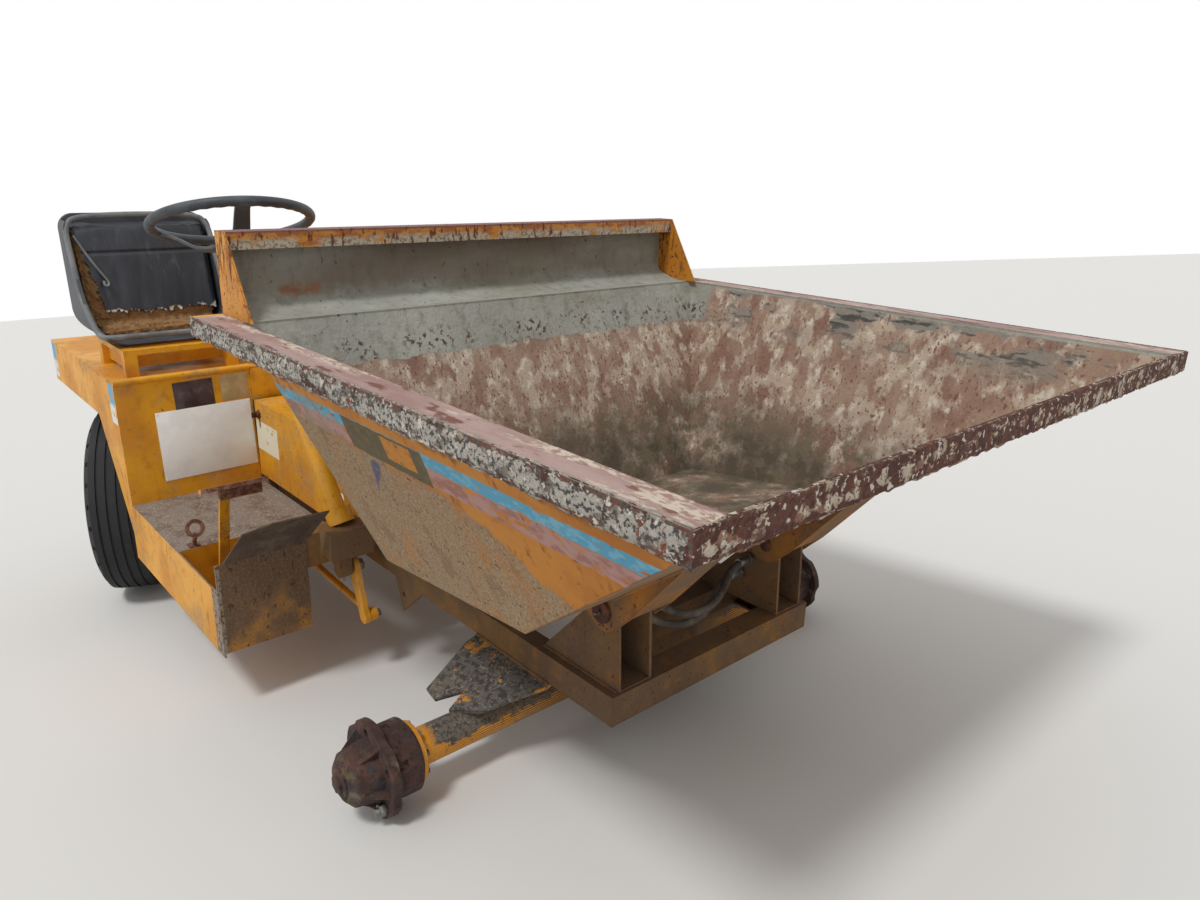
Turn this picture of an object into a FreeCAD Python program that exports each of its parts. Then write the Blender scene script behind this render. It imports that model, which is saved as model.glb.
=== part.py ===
import FreeCAD, Part
import math
import os
from FreeCAD import Placement, Rotation, Vector

# A rigid site dumper with a skip that tips over its front edge, steered by its rear wheels.
# Its front wheels are off, so it stands on the rear tyres and on the flanges of the front hubs.
# Lengths are in millimetres. The machine's own frame has its origin at the middle of the front
# axle: x runs forward, y to the machine's left and z up. The right side is modelled and mirrored.

# Plate thicknesses and clearances
SHEET = 4.0
PLATE = 8.0
RUNNING = 0.1
SEAT_GAP = 0.3
SIDE_GAP = 5.0

# Chassis of two folded channels with cross-members
FRAME_HALF = 320.0
FRAME_BOTTOM = 98.0
FRAME_DEPTH = 67.0
FRAME_FLANGE = 45.0
FRAME_FRONT = 306.0
CHANNEL_T = 6.0
FRAME_TOP = FRAME_BOTTOM + FRAME_DEPTH

# Running gear; what stands over the rear axle keeps its place from REAR_X
WHEELBASE = 1814.0
REAR_X = -WHEELBASE
FRAME_REAR = REAR_X - 402.0
AXLE_TUBE_R = 40.0
AXLE_FLANGE_R = 64.0
AXLE_FLANGE_T = 10.0
AXLE_FLANGE_Y = 605.0
HUB_FLANGE_R = 101.0
HUB_FLANGE_T = 18.0
HUB_FLANGE_Y = 683.0
HUB_END_Y = 755.0
HUB_BARREL_R = 56.0
HUB_DRUM_R = 78.0
HUB_SCALLOP_R = 60.0
HUB_SCALLOP_DEPTH = 7.0
HUB_BOLTS = 5
HUB_BOLT_PCD = 160.0
HUB_BOLT_R = 9.0
SPINDLE_R = 25.0
TYRE_R = 320.0
TYRE_WIDTH = 185.0
TYRE_Y = 650.0
RIM_R = 152.0
RIM_HALF = 62.0
KINGPIN_Y = 515.0
KINGPIN_R = 14.0
BEAM_HALF = 35.0
STEER_SHOWN = 24.0

# Skip
SKIP_WIDTH = 1500.0
LIP_X = 866.0
SKIP_REAR_X = -614.0
RIM_TOP = 830.0
RIM_TOP_WIDTH = 55.0
RIM_FACE = 40.0
RIM_T = 5.0
LIP_BAR_T = 10.0
SKIP_WALL = 6.0
SIDE_RUN = 0.38
TUB_REAR_TOP_X = -479.0
TUB_REAR_FOOT = (-254.0, 310.0)
TUB_FRONT_FOOT = (296.0, 380.0)
TUB_LIP_LOW_Z = 800.0
BACK_HALF = SKIP_WIDTH / 2 - 75.0
BACK_HEIGHT = 180.0
BACK_FOLD = 55.0
BACK_FOLD_DROP = 38.0
CHEEK_TOP = 55.0
CHEEK_FOOT = 165.0

# Tipping pivot, its uprights and the ram
PIVOT_X = 262.0
PIVOT_Z = 338.0
PIVOT_PIN_R = 17.5
UPRIGHT_OUTER_Y = 295.0
UPRIGHT_INNER_Y = 210.0
UPRIGHT_HEAD_R = 30.0
UPRIGHT_REAR_X = 60.0
BRACKET_HEAD_R = 45.0
RAM_FOOT = (-480.0, 70.0)
RAM_EYE = (-30.0, 296.0)
RAM_EYE_R = 26.0
RAM_EYE_HALF = 22.0
RAM_FOOT_HALF = 42.0
RAM_BARREL_R = 40.0
RAM_ROD_R = 20.0
RAM_PIN_R = 15.0
RAM_GLAND_END = 440.0
RAM_ROD_TAIL = 130.0

# Drive shaft, to the left of the ram
DRIVE_Y = 120.0
GEARBOX_OUT = Vector(REAR_X + 418.0, DRIVE_Y, 230.0)
DIFF_IN = Vector(-204.0, DRIVE_Y, 20.0)
DRIVE_SHAFT_R = 22.0
DRIVE_SPIGOT_R = 12.0

# Driver's station on the right, decks and covers
SIDE_Y = 750.0
TUNNEL_Y = 355.0
DECK_TOP = 520.0
DECK_FRONT = REAR_X + 410.0
DECK_INNER_Y = 235.0
SKIRT_BOTTOM = 378.0
LIP_R = 10.0
CONSOLE_FOOT_X = REAR_X + 430.0
FLOOR_TOP = 145.0
BULKHEAD_X = -654.0
BULKHEAD_TOP = 217.0
WELL_BOTTOM = -20.0
WELL_REAR = -960.0
WELL_INNER_Y = 520.0
PANEL_BOTTOM = -35.0
TUNNEL_TOP = 416.0
ARCH_TOP_X = REAR_X + 174.0
ARCH_FOOT = (REAR_X + 404.0, 47.0)
FLAP_RUN = 70.0
FLAP_RISE = 100.0
TANK_TOP = 330.0
TANK_ROUND = 30.0
HOOD_TOP = 700.0
HOOD_FRONT = REAR_X + 364.0
HOOD_REAR = REAR_X - 382.0
HOOD_RIGHT_Y = -265.0
HOOD_LEFT_Y = 330.0
HINGE_R = 8.0
HINGE_PIN_R = 4.0
HINGE_LENGTH = 20.0

# Seat and controls
SEAT_Y = -535.0
SEAT_WIDTH = 430.0
SEAT_FRONT = REAR_X + 330.0
SEAT_BACK_X = REAR_X + 14.0
SEAT_PAN_Z = 612.0
SEAT_TOP = 980.0
SEAT_LOW_ROUND = 90.0
SEAT_TOP_ROUND = 45.0
SHELL_T = 8.0
COLUMN_FOOT = Vector(-650.0, -420.0, 248.0)
WHEEL_CENTRE = Vector(-1003.0, -500.0, 998.0)
WHEEL_AXIS = Vector(-0.33, 0.045, 1.0).normalize()
COLUMN_R = 23.0
STEERING_WHEEL_R = 208.0
STEERING_RIM_R = 13.0
STEERING_BOX_FRONT = -590.0
STEERING_BOX_LOW = 170.0
STEERING_BOX_Y = (-480.0, -362.0)
BEARING_Y = (-452.0, -420.0)
BEARING_R = 22.0
PEDAL_Y = (-668.0, -643.0)
PEDAL_TOP = 346.0

# Steering linkage
DROP_ARM_PIVOT = Vector(-626.0, -405.0, 128.0)
DROP_ARM = 140.0
KNUCKLE_ARM = 115.0
KNUCKLE_ARM_Z = 62.0
TIE_ARM = 110.0
TIE_ROD_Z = -88.0
LINK_R = 10.0

# Values that follow from the ones above
PIVOT = Vector(PIVOT_X, 0, PIVOT_Z)
FOOT = Vector(RAM_FOOT[0], 0, RAM_FOOT[1])
EYE = Vector(RAM_EYE[0], 0, RAM_EYE[1])
DECK_REAR = FRAME_REAR - PLATE
HINGE_X = HOOD_REAR - HINGE_R - SIDE_GAP - 2.0
HINGE_Z = DECK_TOP + HINGE_R + 1.0
KINGPIN_RIGHT = Vector(REAR_X, -KINGPIN_Y, 0)
KINGPIN_LEFT = Vector(REAR_X, KINGPIN_Y, 0)
UP = Vector(0, 0, 1)
LEFT = Vector(0, 1, 0)
AXES = {"x": Vector(1, 0, 0), "y": LEFT, "z": UP}


# Shape helpers

def box(x, y, z):
    """Block between two limits on each axis."""
    return Part.makeBox(x[1] - x[0], y[1] - y[0], z[1] - z[0], Vector(x[0], y[0], z[0]))


def prism(points, along, limits):
    """Outline pushed along one axis; a point gives the other two coordinates in x, y, z order."""
    at = limits[0]
    lift = {
        "x": lambda a, b: Vector(at, a, b),
        "y": lambda a, b: Vector(a, at, b),
        "z": lambda a, b: Vector(a, b, at),
    }[along]
    corners = [lift(a, b) for a, b in points]
    face = Part.Face(Part.makePolygon(corners + corners[:1]))
    return face.extrude(AXES[along] * (limits[1] - at))


def rod(start, end, radius):
    """Round bar from point to point."""
    return Part.makeCylinder(radius, (end - start).Length, start, end - start)


def cross_rod(x, z, y, radius):
    """Round bar across the machine, centred on x and z, between two y limits."""
    return rod(Vector(x, y[0], z), Vector(x, y[1], z), radius)


def turned(profile, centre):
    """Solid turned about a line along y; the profile is (distance along y, radius) pairs."""
    points = [Vector(radius, along, 0) for along, radius in profile]
    solid = Part.Face(Part.makePolygon(points + points[:1])).revolve(Vector(0, 0, 0), LEFT, 360)
    solid.translate(centre)
    return solid


def fused(shapes):
    """One solid from pieces that touch or overlap."""
    return shapes[0].fuse(shapes[1:]).removeSplitter()


def mirrored(shape):
    """The same piece on the machine's other side."""
    return shape.mirror(Vector(0, 0, 0), LEFT)


def both_sides(shape):
    """A right piece and its mirror image, as two solids of one node."""
    return Part.makeCompound([shape, mirrored(shape)])


def inset(points, distance):
    """Convex outline, given counter-clockwise, with every edge moved inwards."""
    lines = []
    for (ax, ay), (bx, by) in zip(points, points[1:] + points[:1]):
        length = math.hypot(bx - ax, by - ay)
        nx, ny = -(by - ay) / length, (bx - ax) / length
        lines.append((nx, ny, nx * ax + ny * ay + distance))
    moved = []
    for (a, b, c), (d, e, f) in zip(lines[-1:] + lines[:-1], lines):
        det = a * e - b * d
        moved.append(((c * e - b * f) / det, (a * f - c * d) / det))
    return moved


# Skip, in the body that tips

def tub_profile(top):
    """Side outline of the tub, counter-clockwise seen from the right, up to a height."""
    lean = (TUB_REAR_TOP_X - TUB_REAR_FOOT[0]) / (RIM_TOP - RIM_T - TUB_REAR_FOOT[1])
    rear_x = TUB_REAR_FOOT[0] + lean * (top - TUB_REAR_FOOT[1])
    lip_x = LIP_X - LIP_BAR_T
    return [TUB_REAR_FOOT, TUB_FRONT_FOOT, (lip_x, TUB_LIP_LOW_Z), (lip_x, top), (rear_x, top)]


def tub_section(top):
    """Cross-section of the tub up to a height, counter-clockwise in (y, z)."""
    rim_under = RIM_TOP - RIM_T
    half = SKIP_WIDTH / 2 - RIM_TOP_WIDTH
    low = TUB_REAR_FOOT[1]
    foot_half = half - SIDE_RUN * (rim_under - low)
    top_half = half + SIDE_RUN * (top - rim_under)
    return [(-foot_half, low), (foot_half, low), (top_half, top), (-top_half, top)]


def skip_tub():
    """Open tub of flat plates: the floor and front wall fold up to the lip."""
    rim_under = RIM_TOP - RIM_T
    reach = (SKIP_REAR_X, LIP_X)
    half = (-SKIP_WIDTH / 2, SKIP_WIDTH / 2)
    outer = prism(tub_profile(rim_under), "y", half).common(prism(tub_section(rim_under), "x", reach))
    above = rim_under + 4 * SKIP_WALL
    inside = prism(inset(tub_profile(above), SKIP_WALL), "y", half)
    inside = inside.common(prism(inset(tub_section(above), SKIP_WALL), "x", reach))
    return outer.cut(inside)


def rim_opening():
    """Limits in x and y of the hole that the rim leaves, flush with the tub's inner faces."""
    lean = (TUB_REAR_TOP_X - TUB_REAR_FOOT[0]) / (RIM_TOP - RIM_T - TUB_REAR_FOOT[1])
    rear = TUB_REAR_TOP_X + SKIP_WALL * math.hypot(1, lean)
    half = SKIP_WIDTH / 2 - RIM_TOP_WIDTH - SKIP_WALL * math.hypot(1, SIDE_RUN)
    return (rear, LIP_X - LIP_BAR_T), (-half, half)


def skip_rim():
    """Folded rim: a top plate with a skirt round it, and a flat bar along the lip."""
    half = SKIP_WIDTH / 2
    opening_x, opening_y = rim_opening()
    low = RIM_TOP - RIM_FACE
    blank = box((SKIP_REAR_X, LIP_X), (-half, half), (low, RIM_TOP))
    hole = box(opening_x, opening_y, (low, RIM_TOP))
    under = box(
        (SKIP_REAR_X + RIM_T, LIP_X - LIP_BAR_T),
        (-half + RIM_T, half - RIM_T),
        (low, RIM_TOP - RIM_T),
    )
    return blank.cut(hole).cut(under)


def skip_back_plate():
    """Spill guard at the rear: a plate folded forwards at its top, with a drip edge."""
    rear = SKIP_REAR_X + RIM_T
    top = RIM_TOP + BACK_HEIGHT
    front = rear + BACK_FOLD
    outline = [
        (rear, RIM_TOP), (rear + RIM_T, RIM_TOP), (rear + RIM_T, top - RIM_T),
        (front - RIM_T, top - RIM_T), (front - RIM_T, top - BACK_FOLD_DROP),
        (front, top - BACK_FOLD_DROP), (front, top), (rear, top),
    ]
    return prism(outline, "y", (-BACK_HALF, BACK_HALF))


def skip_cheek():
    """Tapered side plate that stiffens the right end of the spill guard."""
    rear = SKIP_REAR_X + RIM_T
    top = RIM_TOP + BACK_HEIGHT
    outline = [(rear, RIM_TOP), (rear + CHEEK_FOOT, RIM_TOP), (rear + CHEEK_TOP, top), (rear, top)]
    return prism(outline, "y", (-BACK_HALF - RIM_T, -BACK_HALF))


def floor_height(x):
    """Height of the tub's outside under a point, on its floor or front wall."""
    (ax, az), (bx, bz) = TUB_REAR_FOOT, TUB_FRONT_FOOT
    if x > bx:
        (ax, az), (bx, bz) = TUB_FRONT_FOOT, (LIP_X - LIP_BAR_T, TUB_LIP_LOW_Z)
    return az + (bz - az) * (x - ax) / (bx - ax)


def skip_pivot_bracket():
    """Pair of cheeks under the right of the skip, tied by a plate, round the pivot pin."""
    outer = UPRIGHT_OUTER_Y + PLATE / 2 + SIDE_GAP
    inner = UPRIGHT_INNER_Y - PLATE / 2 - SIDE_GAP
    rear_x, front_x, tie_x, tie_z = PIVOT_X - 110, PIVOT_X + 215, PIVOT_X + 75, PIVOT_Z + 12
    outline = [
        (rear_x, floor_height(rear_x)), (PIVOT_X - 30, PIVOT_Z - 33), (PIVOT_X + 30, PIVOT_Z - 33),
        (tie_x, tie_z), (front_x, floor_height(front_x)), TUB_FRONT_FOOT,
    ]
    pieces = []
    for y in (-outer - PLATE, -inner):
        boss = cross_rod(PIVOT_X, PIVOT_Z, (y, y + PLATE), BRACKET_HEAD_R)
        pieces.append(prism(outline, "y", (y, y + PLATE)).fuse(boss))
    slope = math.atan2(floor_height(front_x) - tie_z, front_x - tie_x)
    run, rise = PLATE * math.sin(slope), PLATE * math.cos(slope)
    band = [(tie_x, tie_z), (front_x, floor_height(front_x)), (front_x - run, floor_height(front_x)),
            (tie_x - run, tie_z + rise)]
    pieces.append(prism(band, "y", (-outer - PLATE, -inner + PLATE)))
    bore = cross_rod(PIVOT_X, PIVOT_Z, (-outer - 2 * PLATE, -inner + 2 * PLATE), PIVOT_PIN_R + RUNNING / 2)
    half = (-SKIP_WIDTH / 2, SKIP_WIDTH / 2)
    tub = prism(tub_profile(RIM_TOP), "y", half)
    return fused(pieces).cut(bore).cut(tub)


def skip_pivot_pin():
    """Pin of the right pivot, held in the skip's bracket."""
    outer = UPRIGHT_OUTER_Y + PLATE / 2 + SIDE_GAP + PLATE
    inner = UPRIGHT_INNER_Y - PLATE / 2 - SIDE_GAP - PLATE
    pin = cross_rod(PIVOT_X, PIVOT_Z, (-outer, -inner), PIVOT_PIN_R)
    head = cross_rod(PIVOT_X, PIVOT_Z, (-outer - PLATE, -outer), PIVOT_PIN_R + 7)
    return fused([pin, head])


def skip_ram_bracket():
    """Two lugs on a pad under the floor, one each side of the ram's eye."""
    lug_y = RAM_EYE_HALF + SIDE_GAP
    rear_x, front_x = RAM_EYE[0] - 60, RAM_EYE[0] + 60
    pieces = []
    for y in (-lug_y - PLATE, lug_y):
        lug = [
            (rear_x, floor_height(rear_x)), (RAM_EYE[0] - 20, RAM_EYE[1] - RAM_EYE_R),
            (RAM_EYE[0] + 20, RAM_EYE[1] - RAM_EYE_R), (front_x, floor_height(front_x)),
        ]
        pieces.append(prism(lug, "y", (y, y + PLATE)))
    for y in (-lug_y - 2 * PLATE, lug_y + PLATE):
        pieces.append(cross_rod(RAM_EYE[0], RAM_EYE[1], (y, y + PLATE), RAM_PIN_R + 5))
    pad = [
        (rear_x, floor_height(rear_x) - CHANNEL_T), (front_x, floor_height(front_x) - CHANNEL_T),
        (front_x, floor_height(front_x)), (rear_x, floor_height(rear_x)),
    ]
    pieces.append(prism(pad, "y", (-lug_y - 40, lug_y + 40)))
    return fused(pieces)


# Ram, in two bodies of its own

def ram_direction():
    """Unit vector from the ram's foot to its eye."""
    line = EYE - FOOT
    return line.normalize()


def ram_barrel():
    """Barrel with its foot eye and gland, bored for the rod."""
    along = ram_direction()
    pieces = [
        cross_rod(FOOT.x, FOOT.z, (-RAM_FOOT_HALF, RAM_FOOT_HALF), RAM_EYE_R + 4),
        rod(FOOT + along * 20, FOOT + along * (RAM_GLAND_END - 40), RAM_BARREL_R),
        rod(FOOT + along * (RAM_GLAND_END - 40), FOOT + along * RAM_GLAND_END, RAM_BARREL_R + 5),
    ]
    bore = rod(FOOT + along * (RAM_ROD_TAIL - 10), FOOT + along * (RAM_GLAND_END + 1), RAM_ROD_R + RUNNING)
    pin_hole = cross_rod(FOOT.x, FOOT.z, (-2 * RAM_FOOT_HALF, 2 * RAM_FOOT_HALF), RAM_PIN_R + RUNNING)
    return fused(pieces).cut(bore).cut(pin_hole)


def ram_rod():
    """Rod with its eye and a short pin that stops short of the skip's lugs."""
    along = ram_direction()
    return fused([
        rod(FOOT + along * RAM_ROD_TAIL, EYE - along * (RAM_EYE_R - 4), RAM_ROD_R),
        cross_rod(EYE.x, EYE.z, (-RAM_EYE_HALF, RAM_EYE_HALF), RAM_EYE_R),
    ])


# Chassis

def channel(y_side):
    """Folded side member with its web outwards, on the side of a sign."""
    web = y_side * FRAME_HALF
    lip = y_side * (FRAME_HALF - FRAME_FLANGE)
    inner = y_side * (FRAME_HALF - CHANNEL_T)
    low, top = FRAME_BOTTOM, FRAME_TOP
    outline = [
        (web, low), (lip, low), (lip, low + CHANNEL_T), (inner, low + CHANNEL_T),
        (inner, top - CHANNEL_T), (lip, top - CHANNEL_T), (lip, top), (web, top),
    ]
    return prism(outline, "x", (FRAME_REAR, FRAME_FRONT))


def cross_member(x, depth, width=60.0):
    """Channel across the frame with its web towards the front, at a front x."""
    low, top = FRAME_TOP - depth, FRAME_TOP
    outline = [
        (x, low), (x, top), (x - width, top), (x - width, top - CHANNEL_T),
        (x - CHANNEL_T, top - CHANNEL_T), (x - CHANNEL_T, low + CHANNEL_T),
        (x - width, low + CHANNEL_T), (x - width, low),
    ]
    return prism(outline, "y", (-FRAME_HALF + CHANNEL_T / 2, FRAME_HALF - CHANNEL_T / 2))


def outrigger(x, z, reach):
    """Box beam from the right side member outwards, between x and z limits."""
    outer = box(x, (-reach, -FRAME_HALF + CHANNEL_T), z)
    hollow = box(
        (x[0] + SHEET, x[1] - SHEET), (-reach - 1, -FRAME_HALF - CHANNEL_T), (z[0] + SHEET, z[1] - SHEET)
    )
    return outer.cut(hollow)


def chassis_frame():
    """Two side members, their cross-members, the ram's foot lugs and the outriggers."""
    members = (
        # front x, depth
        (FRAME_FRONT, FRAME_DEPTH),
        (UPRIGHT_REAR_X + 60, FRAME_DEPTH),
        (RAM_FOOT[0] - 45, FRAME_DEPTH - 26),
        (CONSOLE_FOOT_X, FRAME_DEPTH),
        (REAR_X + 150, FRAME_DEPTH),
        (REAR_X - 90, FRAME_DEPTH),
    )
    pieces = [channel(-1), channel(1)] + [cross_member(x, depth) for x, depth in members]
    lug_y = RAM_FOOT_HALF + SIDE_GAP
    lug_x = RAM_FOOT[0] - 45 - CHANNEL_T
    lug = [
        (lug_x, FRAME_BOTTOM - 8), (RAM_FOOT[0] - 8, RAM_FOOT[1] - RAM_EYE_R),
        (RAM_FOOT[0] + 14, RAM_FOOT[1] - RAM_EYE_R), (RAM_FOOT[0] + RAM_EYE_R, RAM_FOOT[1] - 10),
        (RAM_FOOT[0] + RAM_EYE_R, RAM_FOOT[1] + 10), (RAM_FOOT[0] + 6, RAM_FOOT[1] + RAM_EYE_R),
        (lug_x, FRAME_TOP),
    ]
    for y in (-lug_y - PLATE, lug_y):
        pieces.append(prism(lug, "y", (y, y + PLATE)))
    pieces.append(cross_rod(FOOT.x, FOOT.z, (-lug_y - PLATE - 6, lug_y + PLATE + 6), RAM_PIN_R))
    arm_z = (144.0, 234.0)
    for side in (1, -1):
        arm = outrigger((BULKHEAD_X - SHEET - 60, BULKHEAD_X - SHEET), arm_z, WELL_INNER_Y)
        low_z = (101.0, FLOOR_TOP - SHEET)
        low_arm = outrigger((CONSOLE_FOOT_X - 10, CONSOLE_FOOT_X + 40), low_z, SIDE_Y - 20)
        tab = prism([(-560, FRAME_BOTTOM), (-420, FRAME_BOTTOM), (-525, 6)], "y",
                    (-FRAME_HALF, -FRAME_HALF + CHANNEL_T))
        tab = tab.cut(cross_rod(-518, 60, (-FRAME_HALF - 1, -FRAME_HALF + CHANNEL_T + 1), 7))
        pieces += [arm, low_arm, tab] if side == 1 else [mirrored(arm), mirrored(low_arm), mirrored(tab)]
    return fused(pieces)


def upright():
    """Right tower of two plates and a rear web that carries the skip's pivot."""
    front_x = FRAME_FRONT - CHANNEL_T
    rise = math.atan2(PIVOT_Z - FRAME_TOP, PIVOT_X - UPRIGHT_REAR_X)
    back = Vector(PIVOT_X - UPRIGHT_HEAD_R * math.sin(rise), 0, PIVOT_Z + UPRIGHT_HEAD_R * math.cos(rise))
    outline = [
        (UPRIGHT_REAR_X, FRAME_TOP), (front_x, FRAME_TOP), (PIVOT_X + UPRIGHT_HEAD_R, PIVOT_Z),
        (PIVOT_X, PIVOT_Z + 2), (back.x, back.z),
    ]
    pieces = []
    for y in (-UPRIGHT_OUTER_Y, -UPRIGHT_INNER_Y):
        limits = (y - PLATE / 2, y + PLATE / 2)
        head = cross_rod(PIVOT_X, PIVOT_Z, limits, UPRIGHT_HEAD_R)
        pieces.append(prism(outline, "y", limits).fuse(head))
    web_top = (PIVOT_X - 55, PIVOT_Z - 30)
    web = [
        (UPRIGHT_REAR_X + 10, FRAME_TOP), (UPRIGHT_REAR_X + 10 + PLATE, FRAME_TOP),
        (web_top[0] + PLATE, web_top[1]), web_top,
    ]
    pieces.append(prism(web, "y", (-UPRIGHT_OUTER_Y, -UPRIGHT_INNER_Y)))
    base_y = (-UPRIGHT_OUTER_Y, -UPRIGHT_INNER_Y)
    base = box((UPRIGHT_REAR_X, front_x), base_y, (FRAME_TOP, FRAME_TOP + SHEET))
    pieces.append(base)
    bore_y = (-UPRIGHT_OUTER_Y - PLATE, -UPRIGHT_INNER_Y + PLATE)
    bore = cross_rod(PIVOT_X, PIVOT_Z, bore_y, PIVOT_PIN_R + RUNNING)
    return fused(pieces).cut(bore)


def skip_rest():
    """Post on the right side member that the lowered skip sits on."""
    rear_x, front_x = TUB_REAR_FOOT[0] + 4, TUB_REAR_FOOT[0] + 44
    low = FRAME_TOP
    outline = [
        (rear_x, low), (front_x, low), (front_x, floor_height(front_x) - SEAT_GAP),
        (rear_x, floor_height(rear_x) - SEAT_GAP),
    ]
    return prism(outline, "y", (-FRAME_HALF, -FRAME_HALF + FRAME_FLANGE))


def front_axle():
    """Axle tube with its drive housing, end flanges and spindles, in one solid."""
    flange_in = AXLE_FLANGE_Y - AXLE_FLANGE_T
    half = [
        (0, 0), (0, AXLE_TUBE_R), (flange_in, AXLE_TUBE_R),
        (flange_in, AXLE_FLANGE_R), (AXLE_FLANGE_Y, AXLE_FLANGE_R), (AXLE_FLANGE_Y, SPINDLE_R),
        (HUB_FLANGE_Y + 20, SPINDLE_R), (HUB_FLANGE_Y + 20, 0),
    ]
    left = turned(half, Vector(0, 0, 0))
    bowl = [
        (-150, 0), (-150, AXLE_TUBE_R - 1), (-108, 52), (-76, 78), (-42, 98), (0, 104),
        (42, 98), (76, 78), (108, 52), (150, AXLE_TUBE_R - 1), (150, 0),
    ]
    nose = rod(DIFF_IN + Vector(144, 0, 0), DIFF_IN + Vector(14, 0, 0), 52)
    flange = rod(DIFF_IN + Vector(14, 0, 0), DIFF_IN, 62)
    return fused([left, mirrored(left), turned(bowl, Vector(0, DRIVE_Y, 0)), nose, flange])


def axle_gusset():
    """Sloping plate and web that tie the axle tube to the right side member."""
    reach = 498.0
    top_y = FRAME_HALF - CHANNEL_T
    outline = [
        (-168, -top_y), (-168, -FRAME_HALF - 30), (-116, -reach), (-72, -reach - 6),
        (-38, -reach + 50), (-18, -reach - 4), (44, -reach + 38), (107, -FRAME_HALF - 8), (107, -top_y),
    ]
    drop = FRAME_BOTTOM - AXLE_TUBE_R - 4
    lean = math.degrees(math.atan2(drop, reach - FRAME_HALF))
    plate = prism(outline, "z", (0, PLATE))
    plate.rotate(Vector(0, -FRAME_HALF, 0), Vector(1, 0, 0), lean)
    plate.translate(Vector(0, 0, FRAME_BOTTOM - PLATE - 1))
    web = prism([(-reach + 30, 0), (-reach + 30, AXLE_TUBE_R + 10), (-FRAME_HALF + 2, FRAME_BOTTOM),
                 (-FRAME_HALF + FRAME_FLANGE, FRAME_BOTTOM), (-FRAME_HALF + FRAME_FLANGE, 0)], "x", (-5, 5))
    tube = cross_rod(0, 0, (-reach - 50, -200), AXLE_TUBE_R + RUNNING)
    under_frame = box((-300, 300), (-FRAME_HALF - 200, -200), (FRAME_BOTTOM, FRAME_TOP + 100))
    return fused([plate, web]).cut(tube).cut(under_frame)


def front_hub():
    """Right front hub: drum, scalloped flange with bolt holes, and ribbed barrel."""
    seat = -AXLE_FLANGE_Y - SEAT_GAP
    flange_out = -HUB_FLANGE_Y - HUB_FLANGE_T / 2
    flange_in = -HUB_FLANGE_Y + HUB_FLANGE_T / 2
    body = turned([
        (seat, SPINDLE_R + RUNNING), (seat, HUB_DRUM_R - 12), (seat - 8, HUB_DRUM_R), (seat - 40, HUB_DRUM_R),
        (flange_in, HUB_FLANGE_R - 22), (flange_in, HUB_FLANGE_R), (flange_out, HUB_FLANGE_R),
        (flange_out, HUB_BARREL_R + 8), (-HUB_END_Y + 14, HUB_BARREL_R), (-HUB_END_Y, HUB_BARREL_R - 16),
        (-HUB_END_Y, 0), (-HUB_FLANGE_Y - 24, 0), (-HUB_FLANGE_Y - 24, SPINDLE_R + RUNNING),
    ], Vector(0, 0, 0))
    scallop_at = HUB_FLANGE_R - HUB_SCALLOP_DEPTH + HUB_SCALLOP_R
    through = (flange_out - 1, flange_in + 1)
    for index in range(HUB_BOLTS):
        angle = math.radians(-90 + index * 360 / HUB_BOLTS)
        x, z = math.cos(angle) * scallop_at, math.sin(angle) * scallop_at
        body = body.cut(cross_rod(x, z, through, HUB_SCALLOP_R))
    for index in range(HUB_BOLTS):
        angle = math.radians(-90 + (index + 0.5) * 360 / HUB_BOLTS)
        x, z = math.cos(angle) * HUB_BOLT_PCD / 2, math.sin(angle) * HUB_BOLT_PCD / 2
        body = body.cut(cross_rod(x, z, (flange_out - 1, flange_in + 30), HUB_BOLT_R))
    ribs = []
    for index in range(HUB_BOLTS):
        rib = prism([
            (flange_out + 1, 0), (flange_out + 1, HUB_FLANGE_R - 16), (flange_out, HUB_FLANGE_R - 16),
            (-HUB_END_Y + 16, HUB_BARREL_R - 3), (-HUB_END_Y + 16, 0),
        ], "x", (-5, 5))
        rib.rotate(Vector(0, 0, 0), LEFT, 180 + index * 360 / HUB_BOLTS)
        ribs.append(rib)
    bore = cross_rod(0, 0, (-HUB_FLANGE_Y - 24, seat + 1), SPINDLE_R + RUNNING)
    hub = fused([body] + ribs).cut(bore)
    hub.rotate(Vector(0, 0, 0), LEFT, -pitch())
    return hub


# Rear axle, knuckles and wheels

def rear_axle_beam():
    """Box beam with an eye at each kingpin, hung on its centre pin from the frame."""
    eye_z = (-45, 45)
    reach = KINGPIN_Y - 20
    beam = box((REAR_X - BEAM_HALF, REAR_X + BEAM_HALF), (-reach, reach), (-BEAM_HALF, BEAM_HALF))
    pieces = [beam]
    for y in (-KINGPIN_Y, KINGPIN_Y):
        pieces.append(Part.makeCylinder(32, eye_z[1] - eye_z[0], Vector(REAR_X, y, eye_z[0])))
    pieces.append(prism([(-110, 0), (110, 0), (40, 66), (-40, 66)], "x", (REAR_X - 30, REAR_X + 30)))
    shape = fused(pieces)
    for y in (-KINGPIN_Y, KINGPIN_Y):
        shape = shape.cut(Part.makeCylinder(KINGPIN_R + RUNNING, 200, Vector(REAR_X, y, -100)))
    return shape.cut(rod(Vector(REAR_X - 60, 0, 38), Vector(REAR_X + 60, 0, 38), 20 + RUNNING))


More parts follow.
